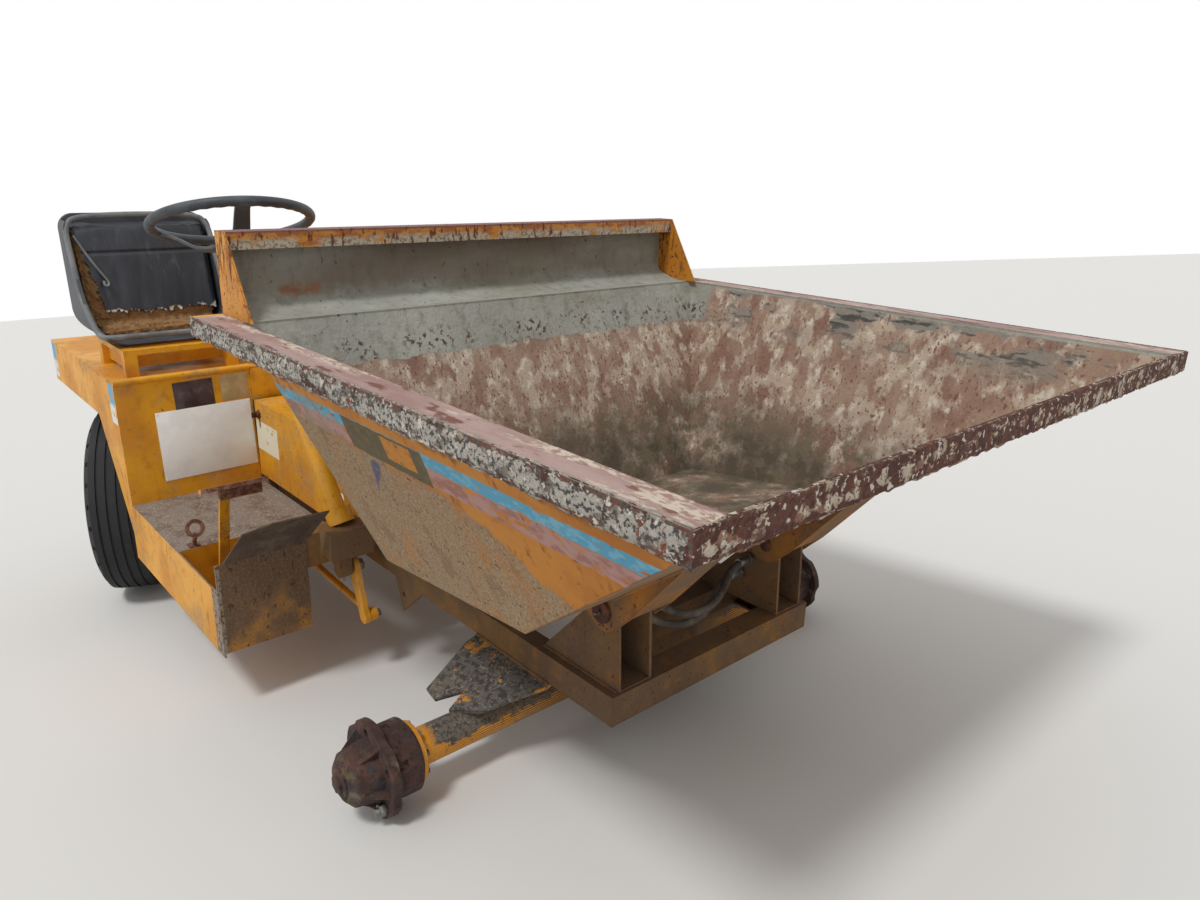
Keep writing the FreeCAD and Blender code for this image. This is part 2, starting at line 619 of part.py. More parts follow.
def axle_hanger():
    """Two plates under the frame with the pin on which the rear axle rocks."""
    pieces = []
    outline = [(-60, FRAME_TOP - CHANNEL_T), (60, FRAME_TOP - CHANNEL_T), (34, 12), (-34, 12)]
    for x in (REAR_X - BEAM_HALF - 15, REAR_X + BEAM_HALF + 5):
        pieces.append(prism(outline, "x", (x, x + 10)))
    pieces.append(rod(Vector(REAR_X - 60, 0, 38), Vector(REAR_X + 60, 0, 38), 20))
    under = FRAME_TOP - CHANNEL_T
    pieces.append(box((REAR_X - 90, REAR_X + 90), (-70, 70), (under - CHANNEL_T, under)))
    return fused(pieces)


def turned_with_wheel(shape, kingpin):
    """Piece built straight ahead, turned about a kingpin as the wheels stand."""
    shape = shape.copy()
    shape.rotate(kingpin, UP, -STEER_SHOWN)
    return shape


def knuckle(side):
    """Straight-ahead knuckle: ears, kingpin, spindle and arms, on the side of a sign."""
    y = side * KINGPIN_Y
    ear_z = ((46, 66), (-66, -46))
    pieces = [Part.makeCylinder(KINGPIN_R, 132, Vector(REAR_X, y, -66))]
    outer = (y + side * 40, y + side * 54)
    for low, high in ear_z:
        pieces.append(Part.makeCylinder(30, high - low, Vector(REAR_X, y, low)))
        pieces.append(box((REAR_X - 28, REAR_X + 28), (min(y, outer[1]), max(y, outer[1])), (low, high)))
    pieces.append(box((REAR_X - 28, REAR_X + 28), (min(outer), max(outer)), (-66, 66)))
    pieces.append(cross_rod(REAR_X, 0, tuple(sorted((outer[0], side * (TYRE_Y + 40)))), SPINDLE_R - 5))
    tie_end = REAR_X - TIE_ARM
    lug = [(REAR_X, y - 22), (REAR_X, y + 22), (tie_end, y + 14), (tie_end, y - 14)]
    pieces.append(prism(lug, "z", (-66, -54)))
    pieces.append(Part.makeCylinder(14, 12, Vector(tie_end, y, -66)))
    pieces.append(Part.makeCylinder(8, 34, Vector(tie_end, y, TIE_ROD_Z)))
    if side < 0:
        arm_y = y + KNUCKLE_ARM
        z = (54, 66)
        arm = [(REAR_X - 20, y), (REAR_X + 20, y), (REAR_X + 13, arm_y), (REAR_X - 13, arm_y)]
        pieces.append(prism(arm, "z", z))
        pieces.append(Part.makeCylinder(13, z[1] - z[0], Vector(REAR_X, arm_y, z[0])))
    return fused(pieces)


def tie_rod():
    """Straight-ahead tie rod between the two knuckles' rear arms."""
    x = REAR_X - TIE_ARM
    pieces = [cross_rod(x, TIE_ROD_Z, (-KINGPIN_Y + 10, KINGPIN_Y - 10), 12)]
    for y in (-KINGPIN_Y, KINGPIN_Y):
        pieces.append(Part.makeCylinder(19, 24, Vector(x, y, TIE_ROD_Z - 12)))
    shape = fused(pieces)
    for y in (-KINGPIN_Y, KINGPIN_Y):
        shape = shape.cut(Part.makeCylinder(8 + 3 * RUNNING, 60, Vector(x, y, TIE_ROD_Z - 30)))
    turn = math.radians(STEER_SHOWN)
    shape.translate(Vector(TIE_ARM * (1 - math.cos(turn)), TIE_ARM * math.sin(turn), 0))
    return shape


def rear_rim(side):
    """Straight-ahead steel wheel: rim, dished disc and hub, on the side of a sign."""
    inner, outer = -RIM_HALF, RIM_HALF
    bore = SPINDLE_R - 5 + RUNNING
    profile = [
        (inner, RIM_R + 12), (inner, RIM_R - 4), (inner + 34, RIM_R - 16), (outer - 42, RIM_R - 16),
        (outer - 26, 74), (outer - 100, 62), (outer - 100, bore), (outer + 2, bore), (outer + 2, 30),
        (outer - 12, 64), (outer - 26, 112), (outer - 34, RIM_R - 12), (outer, RIM_R - 4),
        (outer, RIM_R + 12), (outer - 5, RIM_R + 12), (outer - 5, RIM_R), (inner + 5, RIM_R),
        (inner + 5, RIM_R + 12),
    ]
    wheel = turned([(side * along, radius) for along, radius in profile], Vector(REAR_X, side * TYRE_Y, 0))
    cap_y = side * (TYRE_Y + RIM_HALF + 2)
    cap = cross_rod(REAR_X, 0, tuple(sorted((cap_y, cap_y + side * 12))), 28)
    return fused([wheel, cap])


def rear_tyre(side):
    """Straight-ahead tyre without its pattern, seated on the rim's beads."""
    half = TYRE_WIDTH / 2
    seat = RIM_R + SEAT_GAP
    bead = RIM_HALF - 11 - SEAT_GAP
    outline = [
        (-bead, seat), (-half, (TYRE_R + RIM_R) / 2), (20 - half, TYRE_R - 5), (0, TYRE_R),
        (half - 20, TYRE_R - 5), (half, (TYRE_R + RIM_R) / 2), (bead, seat),
        (bead - 26, seat), (0, TYRE_R - 26), (26 - bead, seat),
    ]
    return turned(outline, Vector(REAR_X, side * TYRE_Y, 0))


# Steering linkage and controls

def knuckle_arm_end():
    """Middle of the right knuckle's inboard arm end, as the wheels stand."""
    turn = math.radians(STEER_SHOWN)
    forward = KNUCKLE_ARM * math.sin(turn)
    return Vector(REAR_X + forward, -KINGPIN_Y + KNUCKLE_ARM * math.cos(turn), KNUCKLE_ARM_Z)


def drop_arm_end():
    """Lower pin of the drop arm, as the wheels stand."""
    forward = KNUCKLE_ARM * math.sin(math.radians(STEER_SHOWN))
    down = math.sqrt(DROP_ARM ** 2 - forward ** 2)
    return DROP_ARM_PIVOT + Vector(forward, 0, -down)


def steering_box():
    """Box under the column with the bearing and shaft that carry the drop arm."""
    pivot = DROP_ARM_PIVOT
    body = box((BULKHEAD_X - SHEET, STEERING_BOX_FRONT), STEERING_BOX_Y, (STEERING_BOX_LOW, COLUMN_FOOT.z))
    web = box((pivot.x - BEARING_R, pivot.x + BEARING_R), BEARING_Y, (pivot.z, STEERING_BOX_LOW + 1))
    bearing = cross_rod(pivot.x, pivot.z, BEARING_Y, BEARING_R)
    shaft = rod(Vector(pivot.x, BEARING_Y[1] - 10, pivot.z), Vector(pivot.x, pivot.y + 12, pivot.z), 13)
    return fused([body, web, bearing, shaft])


def drop_arm():
    """Flat arm on the steering box shaft, hanging to the drag link."""
    pivot, end = DROP_ARM_PIVOT, drop_arm_end()
    y = (pivot.y - 7, pivot.y + 7)
    side = (end - pivot).normalize().cross(LEFT) * 22
    corners = [pivot + side, end + side * 0.8, end - side * 0.8, pivot - side]
    pieces = [
        prism([(corner.x, corner.z) for corner in corners], "y", y),
        cross_rod(pivot.x, pivot.z, y, 26),
        cross_rod(end.x, end.z, y, 19),
        cross_rod(end.x, end.z, (y[1], y[1] + 26), 8),
    ]
    return fused(pieces).cut(cross_rod(pivot.x, pivot.z, (y[0] - 1, y[1] + 1), 13 + RUNNING))


def drag_link():
    """Long rod from the drop arm's pin back to the right knuckle's arm."""
    start = drop_arm_end() + Vector(0, 20, 0)
    end = knuckle_arm_end() + Vector(0, 0, 28)
    eye = cross_rod(start.x, start.z, (start.y - 11, start.y + 11), 17)
    ball = Part.makeCylinder(17, 20, end - Vector(0, 0, 10))
    hole = cross_rod(start.x, start.z, (start.y - 20, start.y + 20), 8 + 3 * RUNNING)
    return fused([rod(start, end, LINK_R), eye, ball]).cut(hole)


def steering_column():
    """Leaning tube from the steering box up to the wheel."""
    along = (WHEEL_CENTRE - COLUMN_FOOT).normalize()
    collar = rod(COLUMN_FOOT, COLUMN_FOOT + along * 40, COLUMN_R + 12)
    tube = rod(COLUMN_FOOT, WHEEL_CENTRE - along * 30, COLUMN_R)
    wheel_side = rod(WHEEL_CENTRE - WHEEL_AXIS * 33.7, WHEEL_CENTRE, 3 * COLUMN_R)
    below = box((COLUMN_FOOT.x - 100, COLUMN_FOOT.x + 100), (-600, -300), (0, COLUMN_FOOT.z))
    return fused([collar, tube]).cut(below).cut(wheel_side)


def steering_wheel():
    """Eight-sided ring with three flat spokes and a hub, knocked out of square with its column."""
    middle = STEERING_WHEEL_R - STEERING_RIM_R
    eighths = [math.radians(22.5 + 45 * index) for index in range(8)]
    rim = STEERING_RIM_R
    section = [(rim * math.sin(turn), middle + rim * math.cos(turn)) for turn in eighths]
    pieces = [turned(section, Vector(0, 0, 0)), rod(Vector(0, -33.7, 0), Vector(0, -0.7, 0), 34)]
    for index in range(3):
        spoke = box((20, middle), (-10, 0), (-19, 19))
        spoke.rotate(Vector(0, 0, 0), LEFT, 90 + index * 120)
        pieces.append(spoke)
    wheel = fused(pieces)
    wheel.Placement = Placement(WHEEL_CENTRE, Rotation(LEFT, WHEEL_AXIS))
    return wheel


def brake_pedal():
    """Bent flat lever out of the pedal well with a wide pad across its top."""
    foot_x, head_x, width = WELL_REAR + 26, WELL_REAR + 136, 12.0
    lever = prism([
        (foot_x, WELL_BOTTOM), (foot_x + width, WELL_BOTTOM),
        (head_x + width, PEDAL_TOP), (head_x, PEDAL_TOP),
    ], "y", PEDAL_Y)
    arm = box((head_x, head_x + width), (PEDAL_Y[0], PEDAL_Y[1] + 83), (PEDAL_TOP - 26, PEDAL_TOP + 1))
    pad = prism([
        (head_x - 38, PEDAL_TOP - 16), (head_x + 24, PEDAL_TOP + 6), (head_x + 20, PEDAL_TOP + 17),
        (head_x - 42, PEDAL_TOP - 5),
    ], "y", (PEDAL_Y[0] - 37, PEDAL_Y[1] + 98))
    foot_y = (PEDAL_Y[0] - 12, PEDAL_Y[1] + 12)
    foot = box((foot_x - 16, foot_x + 28), foot_y, (WELL_BOTTOM, WELL_BOTTOM + 12))
    return fused([lever, arm, pad, foot])


def throttle_pedal():
    """Small ring pedal on a stem at the edge of the floor."""
    x, y = WELL_REAR - 15, PEDAL_Y[0] - 34
    stem = rod(Vector(x, y, FLOOR_TOP + 3), Vector(x + 26, y, FLOOR_TOP + 44), 6)
    ring = turned([(-4, 15), (-4, 25), (4, 25), (4, 15)], Vector(0, 0, 0))
    ring.Placement = Placement(Vector(x + 28, y, FLOOR_TOP + 62), Rotation(LEFT, Vector(1, 0, 0.25)))
    foot = box((x - 16, x + 12), (y - 14, y + 14), (FLOOR_TOP, FLOOR_TOP + 5))
    return fused([stem, ring, foot])


# Driver's station, decks and covers

def hinge_spans():
    """The two hinges of the engine cover: fixed barrel, pin and moving barrel as y limits."""
    spans = []
    for outer, way in ((HOOD_RIGHT_Y + 3, 1), (HOOD_LEFT_Y - 10, -1)):
        inner = outer + way * HINGE_LENGTH
        start = inner + way * SIDE_GAP
        end = start + way * HINGE_LENGTH
        spans.append([tuple(sorted(pair)) for pair in ((outer, inner), (outer, end), (start, end))])
    return spans


def driver_decks():
    """Decks and skirts over the rear wheels, with rolled front lips and the fixed hinge barrels."""
    front = DECK_FRONT
    right = fused([
        box((DECK_REAR, front), (-SIDE_Y, -DECK_INNER_Y), (DECK_TOP - SHEET, DECK_TOP)),
        box((DECK_REAR, ARCH_TOP_X), (-SIDE_Y, -SIDE_Y + SHEET), (SKIRT_BOTTOM, DECK_TOP)),
        box((DECK_REAR, DECK_REAR + SHEET), (-SIDE_Y, -DECK_INNER_Y), (SKIRT_BOTTOM, DECK_TOP)),
        cross_rod(front, DECK_TOP + 2, (-SIDE_Y, -TUNNEL_Y), LIP_R),
    ])
    decks = []
    for deck, (fixed, pin, _) in zip((right, mirrored(right)), hinge_spans()):
        barrel = cross_rod(HINGE_X, HINGE_Z, fixed, HINGE_R)
        foot = box((HINGE_X - HINGE_R, HINGE_X + HINGE_R), fixed, (DECK_TOP - 1, HINGE_Z))
        decks.append(fused([deck, barrel, foot, cross_rod(HINGE_X, HINGE_Z, pin, HINGE_PIN_R)]))
    return Part.makeCompound(decks)


def console():
    """Right front plate and side panel between deck and floor, cut back along the wheel arch."""
    slope = [
        (CONSOLE_FOOT_X, FLOOR_TOP), (CONSOLE_FOOT_X - SHEET, FLOOR_TOP),
        (DECK_FRONT - SHEET, DECK_TOP - SHEET), (DECK_FRONT, DECK_TOP - SHEET),
    ]
    front = prism(slope, "y", (-SIDE_Y, -TUNNEL_Y))
    panel = prism([
        (ARCH_TOP_X, SKIRT_BOTTOM), ARCH_FOOT, (ARCH_FOOT[0], PANEL_BOTTOM), (CONSOLE_FOOT_X, PANEL_BOTTOM),
        (CONSOLE_FOOT_X, FLOOR_TOP), (DECK_FRONT, DECK_TOP - SHEET), (ARCH_TOP_X, DECK_TOP - SHEET),
    ], "y", (-SIDE_Y, -SIDE_Y + SHEET))
    return fused([front, panel]).cut(cross_rod(DECK_FRONT, DECK_TOP + 2, (-SIDE_Y - 1, 0), LIP_R))


def footwell():
    """Floor, side panel, pedal well and front bulkhead in the place of the driver's feet."""
    front = BULKHEAD_X
    inner = -WELL_INNER_Y
    pieces = [
        box((CONSOLE_FOOT_X, WELL_REAR), (-SIDE_Y, -TUNNEL_Y), (FLOOR_TOP - SHEET, FLOOR_TOP)),
        box((WELL_REAR, front - SHEET), (inner, -TUNNEL_Y), (FLOOR_TOP - SHEET, FLOOR_TOP)),
        box((CONSOLE_FOOT_X, front), (-SIDE_Y, -SIDE_Y + SHEET), (PANEL_BOTTOM, FLOOR_TOP)),
        box((WELL_REAR - SHEET, WELL_REAR), (-SIDE_Y, inner), (WELL_BOTTOM - SHEET, FLOOR_TOP)),
        box((WELL_REAR, front), (-SIDE_Y, inner), (WELL_BOTTOM - SHEET, WELL_BOTTOM)),
        box((WELL_REAR, front), (inner - SHEET, inner), (WELL_BOTTOM - SHEET, FLOOR_TOP)),
        box((front - SHEET, front), (-SIDE_Y, inner), (WELL_BOTTOM - SHEET, BULKHEAD_TOP)),
    ]
    arm = box((front - SHEET - 61, front - SHEET), (inner, 0), (140, 240))
    return fused(pieces).cut(arm)


def toe_flap():
    """Plate that leans forward from the top of the bulkhead, cut off at its outer corner."""
    x, z = BULKHEAD_X, BULKHEAD_TOP
    length = math.hypot(FLAP_RUN, FLAP_RISE)
    outline = [(-730, 0), (-522, 0), (-480, length), (-625, length + 6), (-697, length - 12)]
    flap = prism(outline, "x", (-SHEET, 0))
    flap.rotate(Vector(0, 0, 0), LEFT, math.degrees(math.atan2(FLAP_RUN, FLAP_RISE)))
    flap.translate(Vector(x, 0, z))
    return flap.cut(box((x - 50, x + 50), (-800, -400), (z - 20, z)))


def centre_cover():
    """Tunnel over the frame between console and bulkhead, open below."""
    outer = box((CONSOLE_FOOT_X, BULKHEAD_X - SHEET), (-TUNNEL_Y, TUNNEL_Y), (FRAME_TOP, TUNNEL_TOP))
    inner = box(
        (CONSOLE_FOOT_X - 1, BULKHEAD_X - 2 * SHEET), (-TUNNEL_Y + SHEET, TUNNEL_Y - SHEET),
        (FRAME_TOP - 1, TUNNEL_TOP - SHEET),
    )
    arms = box((BULKHEAD_X - SHEET - 61, BULKHEAD_X), (-TUNNEL_Y - 1, TUNNEL_Y + 1), (FRAME_TOP - 1, 234))
    hole = rod(Vector(BULKHEAD_X - 130, -TUNNEL_Y - 5, 262), Vector(BULKHEAD_X - 130, -TUNNEL_Y + 9, 262), 14)
    low = TUNNEL_TOP - SHEET
    riser = prism([
        (CONSOLE_FOOT_X + SHEET, low), (DECK_FRONT, DECK_TOP), (DECK_FRONT - SHEET, DECK_TOP),
        (CONSOLE_FOOT_X, low),
    ], "y", (-DECK_INNER_Y + SEAT_GAP, DECK_INNER_Y - SEAT_GAP))
    strip = box(
        (HOOD_FRONT - 20, DECK_FRONT), (-DECK_INNER_Y + SEAT_GAP, DECK_INNER_Y - SEAT_GAP),
        (DECK_TOP - SHEET, DECK_TOP),
    )
    return fused([outer.cut(inner).cut(arms).cut(hole), riser, strip])


def engine_cover():
    """Hood over the engine with the moving hinge barrels behind its rear foot."""
    low = DECK_TOP + SEAT_GAP
    outline = [
        (HOOD_REAR, low), (HOOD_FRONT, low), (HOOD_FRONT, HOOD_TOP - 60), (HOOD_FRONT - 60, HOOD_TOP),
        (HOOD_REAR, HOOD_TOP),
    ]
    y = (HOOD_RIGHT_Y, HOOD_LEFT_Y)
    outer = prism(outline, "y", y)
    raised = inset(outline, SHEET)
    raised = [(x, z - 2 * SHEET) if z < DECK_TOP + 20 else (x, z) for x, z in raised]
    pieces = [outer.cut(prism(raised, "y", (y[0] + SHEET, y[1] - SHEET)))]
    for _, _, moving in hinge_spans():
        pieces.append(cross_rod(HINGE_X, HINGE_Z, moving, HINGE_R - 0.5))
        pieces.append(box((HINGE_X, HOOD_REAR + 1), moving, (HINGE_Z - SHEET / 2, HINGE_Z + SHEET / 2)))
    bore = cross_rod(HINGE_X, HINGE_Z, (HOOD_RIGHT_Y, HOOD_LEFT_Y), HINGE_PIN_R + RUNNING)
    return fused(pieces).cut(bore)


def engine_block():
    """Engine and gearbox as one plain block on the frame."""
    block = box((REAR_X - 306, ARCH_TOP_X), (-160, 160), (FRAME_TOP, 590))
    gearbox = box((ARCH_TOP_X, HOOD_FRONT), (DRIVE_Y - 230, DRIVE_Y + 70), (FRAME_TOP, 380))
    output = rod(GEARBOX_OUT - Vector(60, 0, 0), GEARBOX_OUT, 50)
    along = (DIFF_IN - GEARBOX_OUT).normalize()
    spigot = rod(GEARBOX_OUT - along * 20, GEARBOX_OUT + along * 26, DRIVE_SPIGOT_R)
    return fused([block, gearbox, output, spigot])


def drive_shaft():
    """Propeller shaft from the gearbox down to the front axle, with a flange at each end."""
    along = (DIFF_IN - GEARBOX_OUT).normalize()
    shaft = fused([
        rod(GEARBOX_OUT + along * 20, DIFF_IN - along * 20, DRIVE_SHAFT_R),
        rod(GEARBOX_OUT + along * 10, GEARBOX_OUT + along * 30, 2 * DRIVE_SHAFT_R),
        rod(DIFF_IN - along * 30, DIFF_IN - along * 12, 2 * DRIVE_SHAFT_R),
    ])
    return shaft.cut(rod(GEARBOX_OUT, GEARBOX_OUT + along * 28, DRIVE_SPIGOT_R + RUNNING))


def rear_plate():
    """Plate across the rear of the frame with the tow jaw."""
    low, top, tongue = FRAME_BOTTOM - 30, SKIRT_BOTTOM - SEAT_GAP, DECK_INNER_Y - SEAT_GAP
    plate = prism([
        (-FRAME_HALF, low), (FRAME_HALF, low), (FRAME_HALF, top), (tongue, top), (tongue, DECK_TOP),
        (-tongue, DECK_TOP), (-tongue, top), (-FRAME_HALF, top),
    ], "x", (DECK_REAR, FRAME_REAR))
    jaws = []
    for z in (FRAME_BOTTOM + 6, FRAME_BOTTOM + 46):
        jaw = box((DECK_REAR - 70, DECK_REAR), (-35, 35), (z, z + 12))
        jaws.append(jaw.cut(Part.makeCylinder(11, 40, Vector(DECK_REAR - 42, 0, z - 10))))
    return fused([plate] + jaws)


def hydraulic_tank():
    """Oil tank on the left, opposite the driver's footwell."""
    front, inner, outer = BULKHEAD_X - 106, TUNNEL_Y + SEAT_GAP, SIDE_Y - 50
    tank = box((CONSOLE_FOOT_X + 54, front), (inner, outer), (FLOOR_TOP, TANK_TOP))
    long_edges = [edge for edge in tank.Edges if edge.BoundBox.YLength > (outer - inner) / 2]
    tank = tank.makeFillet(TANK_ROUND, long_edges)
    neck = Part.makeCylinder(26, 26, Vector(front - 100, (inner + outer) / 2, TANK_TOP))
    return fused([tank, neck])


# Seat

def seat_frame():
    """Four posts with rails on top and a bar across the front, under the seat."""
    right, left, front, rear = SEAT_Y - 165, SEAT_Y + 165, SEAT_FRONT + 40, SEAT_BACK_X + 60
    post = 36.0
    top = SEAT_PAN_Z - SHELL_T - SEAT_GAP
    pieces = []
    for x in (front - post, rear):
        for y in (right, left - post):
            pieces.append(box((x, x + post), (y, y + post), (DECK_TOP, top)))
    for y in (right, left - post):
        pieces.append(box((rear, front), (y, y + post), (top - 16, top)))
    for x in (front - post, rear):
        pieces.append(box((x, x + post), (right, left), (top - 16, top)))
    panel_x, panel_y = front - 80, right + post / 2
    pieces.append(box((panel_x, panel_x + SHEET), (panel_y, left - post / 2), (DECK_TOP + 16, top)))
    pieces.append(box((rear + post / 2, panel_x), (panel_y, panel_y + SHEET), (DECK_TOP + 16, top)))
    return fused(pieces)


def seat_section(grow):
    """Side outline of the seat's bowl, grown outwards by a thickness."""
    return [
        (SEAT_FRONT + grow, SEAT_PAN_Z + 26), (SEAT_FRONT + grow - 30, SEAT_PAN_Z - grow),
        (SEAT_BACK_X + 70, SEAT_PAN_Z - grow), (SEAT_BACK_X + 30 - grow, SEAT_PAN_Z + 40),
        (SEAT_BACK_X - grow, SEAT_TOP), (SEAT_BACK_X + 60, SEAT_TOP), (SEAT_BACK_X + 110, SEAT_TOP - 150),
        (SEAT_FRONT - 110, SEAT_PAN_Z + 90),
    ]


def seat_block(half, low, top, low_round, top_round):
    """Block with the seat's rounded corners in front view, to trim a piece of it."""
    block = box((SEAT_BACK_X - 80, SEAT_FRONT + 80), (SEAT_Y - half, SEAT_Y + half), (low, top))
    for height, radius in ((low, low_round), (top, top_round)):
        edges = [
            edge for edge in block.Edges
            if edge.BoundBox.XLength > SEAT_FRONT - SEAT_BACK_X and abs(edge.CenterOfMass.z - height) < 1
            and abs(abs(edge.CenterOfMass.y - SEAT_Y) - half) < 1
        ]
        block = block.makeFillet(radius, edges)
    return block


def seat_shell():
    """Bucket shell with raised sides and rounded corners, open at the front and top."""
    half, inner = SEAT_WIDTH / 2, SEAT_WIDTH / 2 - SHELL_T
    limits = (SEAT_Y - half, SEAT_Y + half)
    outer = prism(seat_section(SHELL_T), "y", limits)
    outer = outer.common(seat_block(half, SEAT_PAN_Z - SHELL_T, SEAT_TOP, SEAT_LOW_ROUND, SEAT_TOP_ROUND))
    bowl = prism([
        (SEAT_FRONT + 60, SEAT_PAN_Z), (SEAT_BACK_X + 74, SEAT_PAN_Z), (SEAT_BACK_X + 38, SEAT_PAN_Z + 40),
        (SEAT_BACK_X + SHELL_T, SEAT_TOP + 20), (SEAT_FRONT + 60, SEAT_TOP + 20),
    ], "y", limits)
    low_round = SEAT_LOW_ROUND - SHELL_T
    bowl = bowl.common(seat_block(inner, SEAT_PAN_Z, SEAT_TOP + 20, low_round, SHELL_T))
    return outer.cut(bowl)


def seat_cushion():
    """Base and back padding as one closed soft solid inside the shell."""
    half = SEAT_WIDTH / 2 - SHELL_T - SEAT_GAP
    low, top = SEAT_PAN_Z + SEAT_GAP, SEAT_TOP - 16
    outline = [
        (SEAT_FRONT - 6, low), (SEAT_FRONT - 20, SEAT_PAN_Z + 44), (SEAT_BACK_X + 120, SEAT_PAN_Z + 36),
        (SEAT_BACK_X + 60, SEAT_TOP - 30), (SEAT_BACK_X + 16, top), (SEAT_BACK_X + 39, SEAT_PAN_Z + 42),
        (SEAT_BACK_X + 75, low),
    ]
    base = prism(outline, "y", (SEAT_Y - half, SEAT_Y + half))
    low_round = SEAT_LOW_ROUND - SHELL_T - SEAT_GAP
    return base.common(seat_block(half, low, top, low_round, SEAT_TOP_ROUND))


# Hoses

def hose(points, radius):
    """Tube along straight runs joined by the largest tangent arcs that the runs allow."""
    edges = []
    start = points[0]
    for before, corner, after in zip(points, points[1:], points[2:]):
        a, b = (before - corner), (after - corner)
        cut = 0.45 * min(a.Length, b.Length)
        a.normalize()
        b.normalize()
        enter, leave = corner + a * cut, corner + b * cut
        middle_way = (a + b).normalize()
        half_turn = (math.pi - a.getAngle(b)) / 2
        bend = cut / math.tan(half_turn)
        print("hose bend radius", round(bend, 1))
        middle = corner + middle_way * (bend / math.cos(half_turn) - bend)
        edges.append(Part.LineSegment(start, enter).toShape())
        edges.append(Part.Arc(enter, middle, leave).toShape())
        start = leave
    edges.append(Part.LineSegment(start, points[-1]).toShape())
    path = Part.Wire(edges)
    ring = Part.Wire(Part.makeCircle(radius, points[0], points[1] - points[0]))
    return path.makePipeShell([ring], True, False)


def tip_hoses():
    """Two oil hoses that loop forward between the uprights."""
    wall = UPRIGHT_INNER_Y - PLATE / 2
    routes = (
        # height of the loop's start, how far it sags, how far it bows forward
        (282.0, 46.0, 0.0),
        (238.0, 40.0, -26.0),
    )
    hoses = []
    for z, sag, back in routes:
        x = 214.0 + back
        points = [
            Vector(x, -wall, z), Vector(x, -130, z), Vector(x + 34, -70, z - sag),
            Vector(x + 44, 10, z - sag - 6), Vector(x + 30, 76, z - sag + 14), Vector(x, 132, z),
            Vector(x, wall, z),
        ]
        hoses.append(hose(points, 9.0))
    return Part.makeCompound(hoses)


# Standing: the whole machine leans on its hub flanges

def hub_contact_radius():
    """Height of the hub's centre when two flange corners beside a scallop carry it."""
    reach = HUB_FLANGE_R - HUB_SCALLOP_DEPTH + HUB_SCALLOP_R
    cosine = (HUB_FLANGE_R ** 2 + reach ** 2 - HUB_SCALLOP_R ** 2) / (2 * HUB_FLANGE_R * reach)
    return HUB_FLANGE_R * cosine


def pitch():
    """Nose-down lean in degrees of a machine that stands on rear tyres and front hub flanges."""
    return math.degrees(math.asin((TYRE_R - hub_contact_radius()) / WHEELBASE))


def build():
    """All nodes by name, in the machine's own frame."""
    nodes = {
        "skip_tub": skip_tub(),
        "skip_rim": skip_rim(),
        "skip_back_plate": skip_back_plate(),
        "skip_ram_bracket": skip_ram_bracket(),
        "ram_barrel": ram_barrel(),
        "ram_rod": ram_rod(),
        "chassis_frame": chassis_frame(),
        "front_axle": front_axle(),
        "rear_axle_beam": rear_axle_beam(),
        "axle_hanger": axle_hanger(),
        "rear_tie_rod": tie_rod(),
        "steering_box": steering_box(),
        "drop_arm": drop_arm(),
        "drag_link": drag_link(),
        "steering_column": steering_column(),
        "steering_wheel": steering_wheel(),
        "pedals": Part.makeCompound([brake_pedal(), throttle_pedal()]),
        "decks": driver_decks(),
        "consoles": both_sides(console()),
        "footwell": footwell(),
        "toe_flap": toe_flap(),
        "centre_cover": centre_cover(),
        "engine_cover": engine_cover(),
        "engine_block": engine_block(),
        "drive_shaft": drive_shaft(),
        "rear_plate": rear_plate(),
        "hydraulic_tank": hydraulic_tank(),
        "seat_frame": seat_frame(),
        "seat_shell": seat_shell(),
        "seat_cushion": seat_cushion(),
        "tip_hoses": tip_hoses(),
        "skip_cheeks": both_sides(skip_cheek()),
        "skip_pivot_brackets": both_sides(skip_pivot_bracket()),
        "skip_pivot_pins": both_sides(skip_pivot_pin()),
        "uprights": both_sides(upright()),
        "skip_rests": both_sides(skip_rest()),
        "axle_gussets": both_sides(axle_gusset()),
        "front_hub_R": front_hub(),
        "front_hub_L": mirrored(front_hub()),
    }
    for letter, side, kingpin in (("R", -1, KINGPIN_RIGHT), ("L", 1, KINGPIN_LEFT)):
        nodes["knuckle_" + letter] = turned_with_wheel(knuckle(side), kingpin)
        nodes["rear_rim_" + letter] = turned_with_wheel(rear_rim(side), kingpin)
        nodes["rear_tyre_" + letter] = turned_with_wheel(rear_tyre(side), kingpin)
    return nodes


def placed_copy(shape, placement):
    """Copy of a shape moved by a placement."""
    placed = shape.copy()
    placed.Placement = placement.multiply(placed.Placement)
    return placed


def standing_placement(nodes):
    """Placement that sets the machine down: leaning, its lowest points on z = 0, centred in plan."""
    lean = Placement(Vector(0, 0, 0), Rotation(LEFT, pitch()))
    leaning = [placed_copy(shape, lean) for shape in nodes.values()]
    bounds = Part.makeCompound(leaning).optimalBoundingBox(False)
    shift = Vector(-bounds.Center.x, -bounds.Center.y, -bounds.ZMin)
    return Placement(shift, Rotation()).multiply(lean)


def main():
    """Write one STEP file per node, in the frame of the standing machine."""
    os.makedirs("parts", exist_ok=True)
    nodes = build()
    placement = standing_placement(nodes)
    for name, shape in nodes.items():
        placed = placed_copy(shape, placement)
        placed.exportStep("parts/" + name + ".step")
        print(name, shape.isValid(), len(shape.Solids), round(shape.Volume / 1000), "cm3")
    print("pitch", round(pitch(), 3), "shift", placement.Base)


main()
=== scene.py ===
import logging
import math
import random
from dataclasses import dataclass
from enum import Enum
from typing import Callable, Sequence

import bpy
from mathutils import Matrix, Vector, noise


